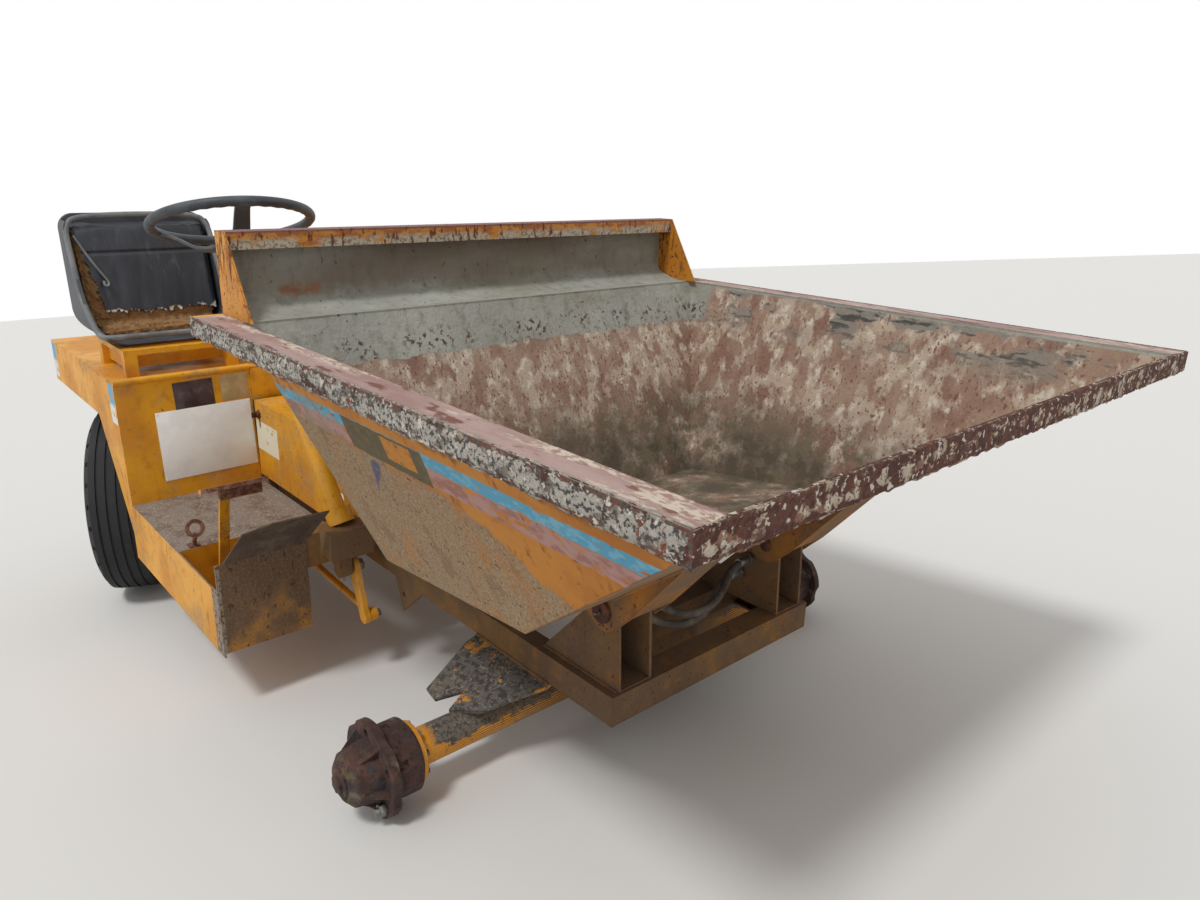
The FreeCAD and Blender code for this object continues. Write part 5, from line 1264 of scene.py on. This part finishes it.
@dataclass
class RimCrust:
    """Set mortar on the skip: a thick crust on the rim's outer sides, lumps on the lip and a cove behind."""

    finishes: Finishes
    length: tuple[float, float] = (-612.0, 864.0)
    half_width: float = 750.0
    top: float = 830.0
    depth: float = 40.0

    def strip(self, length: float, cuts: int, seed: float, lumps: Callable[[float, float], float]) -> bpy.types.Object:
        """Upright strip along x whose points are pushed out along -y.

        Args:
            length: Length of the strip in millimetres.
            cuts: Number of faces along it.
            seed: Moves the noise.
            lumps: Height of the crust in millimetres at a noise place and a share of the strip's height.

        Returns:
            The strip with its top at z = 0, centred on x = 0.
        """
        deselect()
        rows = 18
        bpy.ops.mesh.primitive_grid_add(x_subdivisions=cuts, y_subdivisions=rows, size=1)
        strip = bpy.context.object
        reach = self.depth + 5
        for vertex in strip.data.vertices:
            x, share = vertex.co.x * length, vertex.co.y + 0.5
            border = min(1.0, 4 * min(share, 1 - share), (length / 2 - abs(x)) / 12)
            sag = 4 * noise.noise(Vector((x / 14, seed, 0.5))) * (1 - share)
            height = lumps(x + seed * 900, share) * border - 3.0 * (1 - border)
            vertex.co = mm(x, -height, (share - 1) * reach + 1.5 + sag)
        return strip

    @staticmethod
    def thick(x: float, share: float) -> float:
        """Crust that covers nearly the whole face."""
        place = Vector((x / 26, share * 1.9, 1.0))
        return 1.8 + 3.4 * noise.fractal(place, 0.8, 2.1, 5) + 1.2 * noise.noise(Vector((x / 6, share * 7, 4.0)))

    @staticmethod
    def thin(x: float, share: float) -> float:
        """Flakes that leave the steel bare in many places."""
        place = Vector((x / 30, share * 1.6, 7.0))
        return -0.6 + 3.4 * noise.fractal(place, 0.8, 2.1, 5)

    def build(self) -> None:
        """Model the crust of both sides, the lip's flakes and the cove at the spill guard's foot."""
        low, high = self.length
        for side in Side:
            strip = self.strip(high - low, 520, side.value * 0.7 + 2.0, self.thick)
            if side is Side.LEFT:
                strip.data.transform(Matrix.Rotation(math.pi, 4, "Z"))
            strip.data.transform(Matrix.Translation(mm((low + high) / 2, side.value * self.half_width, self.top)))
            placed(strip, "rim_mortar_" + side.name[0], "skip", self.finishes.rim_crust, smooth=60.0)
        lip = self.strip(2 * self.half_width, 520, 5.0, self.thin)
        lip.data.transform(Matrix.Rotation(math.radians(90), 4, "Z"))
        lip.data.transform(Matrix.Translation(mm(high + 2, 0, self.top)))
        placed(lip, "lip_mortar", "skip", self.finishes.lip_crust, smooth=60.0)
        self.cove()

    def cove(self) -> None:
        """Hollow fillet of cement that runs from the spill guard's foot to the inside of the rear wall."""
        deselect()
        bpy.ops.mesh.primitive_grid_add(x_subdivisions=300, y_subdivisions=16, size=1)
        cove = bpy.context.object
        half = 671.0
        for vertex in cove.data.vertices:
            y, share = vertex.co.x * 2 * half, vertex.co.y + 0.5
            turn = share * math.pi / 2
            x = -604 + 128 * (1 - math.sin(turn))
            z = self.top + 44 * (1 - math.cos(turn))
            lump = 2.0 * noise.fractal(Vector((y / 60, share * 3, 2.0)), 0.9, 2.0, 4)
            edge = min(1.0, 6 * min(share, 1 - share))
            away = Vector((math.sin(turn), 0, math.cos(turn))) * (lump * edge - 1.5 * (1 - edge))
            vertex.co = (Vector((x, y, z)) + away) / 1000
        edit(cove)
        bpy.ops.mesh.normals_make_consistent(inside=False)
        done_editing()
        placed(cove, "guard_foot_cove", "skip", self.finishes.skip_inside, smooth=60.0)


@dataclass
class ConsolePlates:
    """Things on the driver's side: two bare rating plates, the white panel, the key switch and their rivets."""

    finishes: Finishes
    foot: tuple[float, float] = (-1384.0, 145.0)
    head: tuple[float, float] = (-1404.0, 516.0)

    def face_matrix(self, y: float, z: float) -> Matrix:
        """Frame on the console's front: x to the machine's right, y up the plate, z out of it."""
        share = (z - self.foot[1]) / (self.head[1] - self.foot[1])
        x = self.foot[0] + share * (self.head[0] - self.foot[0])
        up = Vector((self.head[0] - self.foot[0], 0, self.head[1] - self.foot[1])).normalized()
        right = Vector((0, -1, 0))
        out = right.cross(up)
        if out.x < 0:
            right, out = -right, -out
        matrix = Matrix((right, up, out)).transposed().to_4x4()
        matrix.translation = Vector((x, y, z)) / 1000
        return matrix

    def plate(self, centre: tuple[float, float], size: tuple[float, float], thick: float, turn: float) -> bpy.types.Object:
        """Thin plate with rounded corners and four rivets.

        Args:
            centre: Its middle in y and z.
            size: Width and height in millimetres.
            thick: Thickness in millimetres.
            turn: Angle in degrees in its own plane.

        Returns:
            The plate with its rivets, in the machine's frame.
        """
        w, h = size[0] / 2, size[1] / 2
        sheet = block((-w, -h, 0.2), (w, h, 0.2 + thick), thick * 0.4, 2)
        pieces = [sheet]
        for x in (-w + 5, w - 5):
            for y in (-h + 5, h - 5):
                pieces.append(round_bar((x, y, 0), (x, y, thick + 1.4), 2.2, 16, 0.8))
        plate = joined(pieces)
        place = self.face_matrix(*centre) @ Matrix.Rotation(math.radians(turn), 4, "Z")
        plate.data.transform(place)
        return plate

    def build(self) -> None:
        """Model the plates and the key switch."""
        f = self.finishes
        placed(self.plate((-530, 458), (118, 86), 1.2, 1.5), "rating_plate_dark", "chassis", f.dark_plate)
        placed(self.plate((-406, 465), (84, 84), 1.2, 1.5), "rating_plate_pale", "chassis", f.pale_plate)
        placed(self.plate((-505, 310), (286, 216), 2.0, 0.8), "console_panel_white", "chassis", f.white_panel)
        y = -355.0
        barrel = round_bar((-1352, y + 1, 375), (-1352, y - 9, 375), 11, 32, 1.5)
        ring = round_bar((-1352, y + 1, 375), (-1352, y - 4, 375), 15, 6, 1.0)
        key = block((-1353.2, y - 24, 366), (-1350.8, y - 8, 384), 0.8)
        placed(joined([barrel, ring, key]), "key_switch", "chassis", f.rust)
        self.infill()

    def infill(self) -> None:
        """Small plates that close the front between the centre cover's riser and the two consoles."""
        for side in Side:
            inner, outer = sorted((side.value * 235.5, side.value * 354.5))
            plate = block((-2.0, inner, 413), (2.0, outer, 516), 0.8, 2)
            lean = (self.head[0] - self.foot[0]) / (self.head[1] - self.foot[1])
            for vertex in plate.data.vertices:
                vertex.co.x += (self.foot[0] - 2 + lean * (vertex.co.z * 1000 - self.foot[1])) / 1000
            placed(plate, "console_infill_" + side.name[0], "chassis", self.finishes.yellow)


@dataclass
class SeatDress:
    """The driver's seat: grey piping round the shell, a torn vinyl back over brown foam, and a bare foam base."""

    finishes: Finishes
    y: float = -535.0
    width: float = 430.0
    front: float = REAR_AXLE_X + 330.0
    back: float = REAR_AXLE_X + 14.0
    pan: float = 612.0
    top: float = 980.0
    foam_front: float = -1566.0
    tear_z: float = 686.0
    seam_z: float = 864.0
    voxel: float = 5.0
    pressure: float = 4.0
    most: float = 9.0

    def ragged(self, value: float, size: float, seed: float) -> float:
        """Smooth random number between minus one and one along a line."""
        return noise.noise(Vector((value / size, seed, 0.3))) * 2

    def vinyl_here(self, point: Vector) -> bool:
        """Whether the torn cover still hides a point given in machine millimetres."""
        low = self.tear_z + 7 * self.ragged(point.y, 22, 1.0) + 3 * self.ragged(point.y, 6, 2.0)
        share = (point.z - 694) / (916 - 694)
        right = -678 - 48 * share + 5 * self.ragged(point.z, 16, 4.0)
        return point.z > low and point.y > right and point.x > self.back + 8

    def pad(self) -> bpy.types.Object:
        """Copy of the plain pad, cut back at the front, swollen by pressure and rounded."""
        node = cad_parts["seat_cushion"]
        pad = bpy.data.objects.new("seat_pad", node.data.copy())
        bpy.context.collection.objects.link(pad)
        pad.data.transform(TO_MACHINE @ node.matrix_world)
        edit(pad)
        bpy.ops.mesh.remove_doubles(threshold=0.00001)
        bpy.ops.mesh.bisect(plane_co=mm(self.foam_front, 0, 0), plane_no=(1, 0, 0), clear_outer=True, use_fill=True)
        done_editing()
        modified(pad, "REMESH", mode="VOXEL", voxel_size=self.voxel / 1000)
        self.swell(pad)
        modified(pad, "SMOOTH", factor=0.5, iterations=6)
        return modified(pad, "SUBSURF", levels=1, render_levels=1)

    def swell(self, pad: bpy.types.Object) -> None:
        """Blow the pad up as cloth and cap how far each point moves."""
        rest = [vertex.co.copy() for vertex in pad.data.vertices]
        pick(pad)
        cloth = pad.modifiers.new("Cloth", "CLOTH")
        cloth.settings.use_pressure = True
        cloth.settings.uniform_pressure_force = self.pressure
        cloth.settings.effector_weights.gravity = 0
        cloth.settings.quality = 5
        scene = bpy.context.scene
        for step in range(1, 21):
            scene.frame_set(step)
        bpy.ops.object.modifier_apply(modifier=cloth.name)
        scene.frame_set(1)
        for vertex, start in zip(pad.data.vertices, rest):
            move = vertex.co - start
            if move.length > self.most / 1000:
                vertex.co = start + move.normalized() * self.most / 1000

    def creased(self, pad: bpy.types.Object) -> None:
        """Press the seam and soft upright creases into the cover, and eat away the bare foam."""
        moves = []
        for vertex in pad.data.vertices:
            point = vertex.co * 1000
            if self.vinyl_here(point):
                dip = 5.0 * math.exp(-((point.z - self.seam_z) / 4.5) ** 2)
                fade = max(0.0, min(1.0, (self.seam_z - point.z) / 40))
                crease = 3.0 * noise.noise(Vector((point.y / 26, 0.4, point.z / 160))) * fade
                moves.append(Vector((-(dip + crease) / 1000, 0, 0)))
            else:
                crumbs = noise.fractal(point / 16, 1.0, 2.0, 4) * 4.0
                moves.append(-vertex.normal * (9.0 + crumbs) / 1000)
        for vertex, move in zip(pad.data.vertices, moves):
            vertex.co += move

    def build(self) -> None:
        """Model the pad with its torn cover, the scrim, the loose welt and the piping."""
        pad = self.pad()
        covered = [self.vinyl_here(face.center * 1000) for face in pad.data.polygons]
        self.creased(pad)
        placed(pad, "seat_pad_torn", "chassis", self.finishes.vinyl, 60.0)
        pad.data.materials.append(self.finishes.foam)
        for face, cover in zip(pad.data.polygons, covered):
            face.material_index = 0 if cover else 1
        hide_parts("seat_cushion")
        self.scrim()
        self.trim()

    def scrim(self) -> None:
        """White backing cloth that frays out along the lower tear."""
        deselect()
        cuts = 150
        bpy.ops.mesh.primitive_grid_add(x_subdivisions=cuts, y_subdivisions=3, size=1)
        strip = bpy.context.object
        low, high = -676.0, self.y + self.width / 2 - 24
        for vertex in strip.data.vertices:
            y = low + (vertex.co.x + 0.5) * (high - low)
            share = vertex.co.y + 0.5
            fray = 3.0 + 11.0 * abs(self.ragged(y, 17, 7.0)) + 6.0 * abs(self.ragged(y, 3, 9.0))
            z = self.tear_z + 8 + 5 * self.ragged(y, 22, 1.0) - share * fray
            x = self.back + 124 - (z - 656) * 0.215 + 2.0 * share
            vertex.co = mm(x, y, z)
        modified(strip, "SOLIDIFY", thickness=0.0012)
        placed(strip, "seat_scrim_frayed", "chassis", self.finishes.scrim)

    def trim(self) -> None:
        """Piping on the free edge of the shell, and the welt that hangs loose across the back."""
        low, high = self.y - self.width / 2 + 4, self.y + self.width / 2 - 4
        side = [(self.back + 58, self.top - 2), (self.back + 84, self.top - 76), (self.back + 110, self.top - 150),
                (self.front - 160, self.pan + 128), (self.front - 104, self.pan + 86), (self.front - 50, self.pan + 55),
                (self.front - 2, self.pan + 26)]
        right = [(x, low, z) for x, z in side]
        left = [(x, high, z) for x, z in reversed(side)]
        corner = 34
        right[0] = (side[0][0], low + corner, side[0][1])
        left[-1] = (side[0][0], high - corner, side[0][1])
        route = right[:1] + [(side[0][0] + 6, low + 3, side[0][1] - corner)] + right[1:-1]
        route += [(self.front - 8, low + 3, self.pan + 30), (self.front - 2, low + corner, self.pan + 26),
                  (self.front - 2, high - corner, self.pan + 26), (self.front - 8, high - 3, self.pan + 30)]
        route += left[1:-1] + [(side[0][0] + 6, high - 3, side[0][1] - corner), left[-1]]
        piping = tube(route, 8.0, closed=True)
        placed(piping, "seat_piping", "chassis", self.finishes.piping, smooth=60.0)
        x = self.back + 102
        welt = tube([(x - 30, -727, 918), (x - 14, -705, 866), (x - 4, -682, 822), (x + 3, -664, 792),
                     (x + 9, -655, 775), (x + 16, -661, 764), (x + 14, -672, 770), (x + 8, -668, 780)], 4.0)
        placed(welt, "seat_welt_loose", "chassis", self.finishes.piping, smooth=60.0)


@dataclass
class TipHoses:
    """Two oil hoses that loop forward between the uprights, each with a crimped end at both sides."""

    finishes: Finishes
    wall: float = 206.0
    radius: float = 9.0
    routes: tuple[tuple[float, float, float], ...] = ((282.0, 46.0, 0.0), (238.0, 40.0, -26.0))
    lengths: tuple[float, ...] = (0.442, 0.438)

    def points(self, z: float, sag: float, back: float) -> list[Point]:
        """The route's points in the machine's frame, as in the part's source."""
        x = 214.0 + back
        return [(x, -self.wall, z), (x, -130, z), (x + 34, -70, z - sag), (x + 44, 10, z - sag - 6),
                (x + 30, 76, z - sag + 14), (x, 132, z), (x, self.wall, z)]

    def build(self) -> None:
        """Model both hoses as smooth cords with their fittings."""
        for number, (route, length) in enumerate(zip(self.routes, self.lengths), 1):
            points = self.points(*route)
            data = bpy.data.curves.new(f"tip_hose_{number}", "CURVE")
            data.dimensions = "3D"
            data.bevel_depth = self.radius / 1000
            data.bevel_resolution = 5
            data.resolution_u = 16
            spline = data.splines.new("NURBS")
            spline.points.add(len(points) - 1)
            for control, point in zip(spline.points, points):
                control.co = (*(TO_WORLD @ (Vector(point) / 1000)), 1)
            spline.order_u = 3
            spline.use_endpoint_u = True
            hose = bpy.data.objects.new(f"tip_hose_{number}", data)
            bpy.context.collection.objects.link(hose)
            data.materials.append(self.finishes.hose)
            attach(hose, "chassis")
            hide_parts("tip_hoses")
            fittings = []
            for end, toward in ((points[0], 1), (points[-1], -1)):
                x, y, z = end
                fittings.append(round_bar((x, y, z), (x, y + toward * 12, z), 15, 6, 1.5))
                fittings.append(round_bar((x, y + toward * 10, z), (x, y + toward * 46, z), 11.5, 28, 1.2))
            fitting = placed(joined(fittings), f"hose_ends_{number}", "chassis", self.finishes.zinc)


@dataclass
class WeldBeads:
    """Hand-laid weld along the seams of the frame, the axle and the skip's brackets."""

    finishes: Finishes
    leg: float = 4.5
    ripple: float = 5.0

    def bead(self, route: Sequence[Point]) -> bpy.types.Object:
        """One seam, rippled as the welder's hand moved on.

        Args:
            route: Corner points of the seam in machine millimetres.

        Returns:
            The bead as a mesh.
        """
        places = [Vector(route[0])]
        for a, b in zip(route, route[1:]):
            a, b = Vector(a), Vector(b)
            steps = max(1, round((b - a).length / self.ripple * 2))
            places += [a.lerp(b, (index + 1) / steps) for index in range(steps)]
        deselect()
        data = bpy.data.curves.new("bead", "CURVE")
        data.dimensions = "3D"
        data.bevel_depth = self.leg / 1000
        data.bevel_resolution = 2
        data.use_fill_caps = True
        spline = data.splines.new("POLY")
        spline.points.add(len(places) - 1)
        for index, (control, place) in enumerate(zip(spline.points, places)):
            wobble = noise.noise_vector(place / 30) * 0.7
            control.co = (*mm(*(place + wobble)), 1)
            control.radius = (0.84 if index % 2 else 1.0) + random.uniform(-0.06, 0.06)
        bead = bpy.data.objects.new("bead", data)
        bpy.context.collection.objects.link(bead)
        pick(bead)
        bpy.ops.object.convert(target="MESH")
        return bpy.context.object

    def mirrored(self, routes: Sequence[Sequence[Point]]) -> bpy.types.Object:
        """Beads of the right side and the same on the left, as one mesh."""
        left = [[(x, -y, z) for x, y, z in route] for route in routes]
        return joined([self.bead(route) for route in [*routes, *left]])

    def build(self) -> None:
        """Lay the beads."""
        ring = [(41 * math.cos(a), -594.0, 41 * math.sin(a)) for a in (math.tau * i / 24 for i in range(25))]
        frame_seams = [
            [(62, -300, 166), (298, -300, 166)],
            [(-168, -321, 97), (107, -321, 97)],
            [(-209, -318, 166), (-209, -278, 166)],
            [(-251, -318, 166), (-251, -278, 166)],
            ring,
        ]
        placed(self.mirrored(frame_seams), "frame_welds", "chassis", self.finishes.frame, smooth=50.0)
        jaws = [[(-2224, -34, z), (-2224, 34, z)] for z in (103, 117, 143, 157)]
        placed(joined([self.bead(route) for route in jaws]), "tow_jaw_welds", "chassis", self.finishes.yellow,
               smooth=50.0)
        skip_seams = [
            [(153, -313, 361), (296, -313, 379), (476, -313, 514)],
            [(153, -192, 361), (296, -192, 379), (476, -192, 514)],
            [(-89, -68, 331), (29, -68, 346)],
        ]
        placed(self.mirrored(skip_seams), "skip_welds", "skip", self.finishes.bracket, smooth=50.0)


@dataclass
class Fittings:
    """Small turned and pressed parts: flange bolts, grease nipples, tank cap and plug, tyre valves, arm nuts."""

    finishes: Finishes
    tank_neck: Point = (-860.0, 527.65, 356.0)
    drop_pivot: Point = (-626.0, -405.0, 128.0)
    drop_end: Point = (-579.2, -405.0, -4.0)
    pin: tuple[float, float] = (262.0, 338.0)

    def hexagon(self, start: Point, end: Point, across: float) -> bpy.types.Object:
        """Bolt head or nut between two points, by its width across the flats."""
        return round_bar(start, end, across / math.sqrt(3), 6, 1.0)

    def nipple(self, base: Point, out: Point) -> bpy.types.Object:
        """Grease nipple on a surface: hexagon, neck and ball."""
        a, way = Vector(base), Vector(out)
        parts = [self.hexagon(tuple(a), tuple(a + way * 5), 9), round_bar(tuple(a), tuple(a + way * 10), 2.6, 16, 0.4),
                 round_bar(tuple(a + way * 9), tuple(a + way * 14), 3.4, 16, 1.4)]
        return joined(parts)

    def axle_bolts(self) -> None:
        """Eight bolts on the inner face of each axle flange."""
        for side in Side:
            sign = side.value
            bolts = []
            for index in range(8):
                angle = math.tau * (index + 0.5) / 8
                x, z = 54 * math.cos(angle), 54 * math.sin(angle)
                bolts.append(self.hexagon((x, sign * 596, z), (x, sign * 588, z), 13))
            placed(joined(bolts), "axle_flange_bolts_" + side.name[0], "chassis", self.finishes.zinc)

    def tank(self) -> None:
        """Screwed filler cap with grip ribs, and the drain plug below."""
        x, y, z = self.tank_neck
        cap = round_bar((x, y, z - 6), (x, y, z + 16), 31, 64, 3)
        ribs = [round_bar((x + 31 * math.cos(a), y + 31 * math.sin(a), z - 3),
                          (x + 31 * math.cos(a), y + 31 * math.sin(a), z + 12), 2.2, 12, 0.8)
                for a in (math.tau * i / 24 for i in range(24))]
        knob = block((x - 20, y - 4, z + 14), (x + 20, y + 4, z + 24), 2.5, 3)
        placed(joined([cap, knob] + ribs), "tank_filler_cap", "chassis", self.finishes.plastic)
        plug = self.hexagon((x, y, 146), (x, y, 135), 22)
        placed(plug, "tank_drain_plug", "chassis", self.finishes.zinc)

    def steering_nuts(self) -> None:
        """Nuts on the drop arm's shaft and on the pin at its lower end."""
        x, _, z = self.drop_pivot
        shaft = [self.hexagon((x, -394, z), (x, -382, z), 30), round_bar((x, -394, z), (x, -378, z), 8, 20, 1.5)]
        placed(joined(shaft), "drop_arm_shaft_nut", "chassis", self.finishes.zinc)
        x, _, z = self.drop_end
        placed(self.hexagon((x, -373, z), (x, -363, z), 20), "drop_arm_pin_nut", "drop_arm", self.finishes.zinc)

    def valves(self) -> None:
        """Rubber valve stem with its cap on each rear rim."""
        for side in Side:
            sign, letter = side.value, side.name[0]
            face = sign * (650 + 62 - 22)
            foot, out = Vector((-92, face, 78)), Vector((-0.25, sign * 0.95, 0.2)).normalized()
            stem = round_bar(tuple(foot), tuple(foot + out * 30), 4.6, 20, 1)
            base = round_bar(tuple(foot - out * 2), tuple(foot + out * 6), 8, 20, 2)
            cap = round_bar(tuple(foot + out * 28), tuple(foot + out * 40), 5.4, 20, 1.4)
            valve = joined([stem, base, cap])
            valve.data.transform(Matrix.Translation((REAR_AXLE_X / 1000, 0, 0)))
            turn = about((REAR_AXLE_X, sign * 515, 0), -24.0, "Z")
            placed(valve, "tyre_valve_" + letter, "rear_wheel_" + letter, self.finishes.rubber, world=TO_WORLD @ turn)

    def build(self) -> None:
        """Model and place them all."""
        self.axle_bolts()
        self.tank()
        self.steering_nuts()
        self.valves()
        x, z = self.pin
        nipples = [self.nipple((x, sign * 320, z), (0, sign, 0)) for sign in (-1, 1)]
        placed(joined(nipples), "pivot_grease_nipples", "skip", self.finishes.zinc)
        low = self.nipple((self.drop_pivot[0], -436, self.drop_pivot[2] - 21), (0, 0, -1))
        placed(low, "steering_grease_nipple", "chassis", self.finishes.zinc)


@dataclass
class Studio:
    """Pale floor, plain soft light and the camera at the photograph's place."""

    lens: float = 26.19
    eye: Point = (1383.0, -1341.0, 1166.0)
    right: Point = (0.663, 0.748, 0.026)
    down: Point = (0.249, -0.188, -0.95)
    forward: Point = (-0.706, 0.636, -0.311)

    def camera(self) -> None:
        """Set the camera where the photograph was taken from."""
        forward = (TO_WORLD.to_3x3() @ Vector(self.forward)).normalized()
        up = -(TO_WORLD.to_3x3() @ Vector(self.down))
        right = forward.cross(up).normalized()
        up = right.cross(forward)
        data = bpy.data.cameras.new("camera")
        data.lens = self.lens
        data.sensor_width = 36.0
        camera = bpy.data.objects.new("camera", data)
        bpy.context.collection.objects.link(camera)
        matrix = Matrix((right, up, -forward)).transposed().to_4x4()
        matrix.translation = TO_WORLD @ (Vector(self.eye) / 1000)
        camera.matrix_world = matrix
        bpy.context.scene.camera = camera

    def floor(self) -> None:
        """Large pale floor that keeps the machine's shadow."""
        deselect()
        bpy.ops.mesh.primitive_plane_add(size=60)
        floor = bpy.context.object
        floor.name = "floor"
        material = bpy.data.materials.new("floor_pale")
        material.use_nodes = True
        shader = material.node_tree.nodes["Principled BSDF"]
        shader.inputs["Base Color"].default_value = srgb("DEDDDA")
        shader.inputs["Roughness"].default_value = 0.9
        floor.data.materials.append(material)

    def light(self) -> None:
        """Even sky light and one soft sun from behind the machine's left, as in the photograph."""
        world = bpy.data.worlds.new("studio")
        bpy.context.scene.world = world
        world.use_nodes = True
        tree = world.node_tree
        background = tree.nodes["Background"]
        background.inputs["Color"].default_value = srgb("FFFFFF")
        background.inputs["Strength"].default_value = 0.62
        white = add_node(tree, "ShaderNodeBackground", {"Color": srgb("FFFFFF"), "Strength": 1.0})
        path = add_node(tree, "ShaderNodeLightPath")
        seen = path.outputs["Is Camera Ray"]
        for name in ("Is Glossy Ray", "Is Transmission Ray"):
            seen = add_node(tree, "ShaderNodeMath", {0: seen, 1: path.outputs[name]}, operation="MAXIMUM").outputs[0]
        mixed = add_node(tree, "ShaderNodeMixShader", {0: seen, 1: background.outputs[0], 2: white.outputs[0]})
        tree.links.new(mixed.outputs[0], tree.nodes["World Output"].inputs["Surface"])
        sun = bpy.data.lights.new("soft_sun", "SUN")
        sun.energy = 1.5
        sun.angle = math.radians(12)
        lamp = bpy.data.objects.new("soft_sun", sun)
        bpy.context.collection.objects.link(lamp)
        lamp.rotation_euler = Vector((0.25, -0.55, 1.0)).to_track_quat("Z", "Y").to_euler()

    def build(self) -> None:
        """Set up the whole studio."""
        self.camera()
        self.floor()
        self.light()
        bpy.context.scene.view_settings.view_transform = "Standard"


def main() -> None:
    """Build the studio, dress the CAD nodes and add every new piece."""
    logging.basicConfig(level=logging.INFO, format="%(message)s")
    random.seed(7)
    noise.seed_set(7)
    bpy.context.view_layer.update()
    Studio().build()
    finishes = Finishes()
    CarriedOver(finishes).dress()
    parts = [SteeringWheel(finishes), RimCrust(finishes), ConsolePlates(finishes), SeatDress(finishes),
             TipHoses(finishes), WeldBeads(finishes), Fittings(finishes)]
    for side in Side:
        parts += [RearTyre(finishes, side), HubDress(finishes, side)]
    for part in parts:
        part.build()
        log.info("built %s", type(part).__name__)
    deselect()


if __name__ == "__main__":
    main()
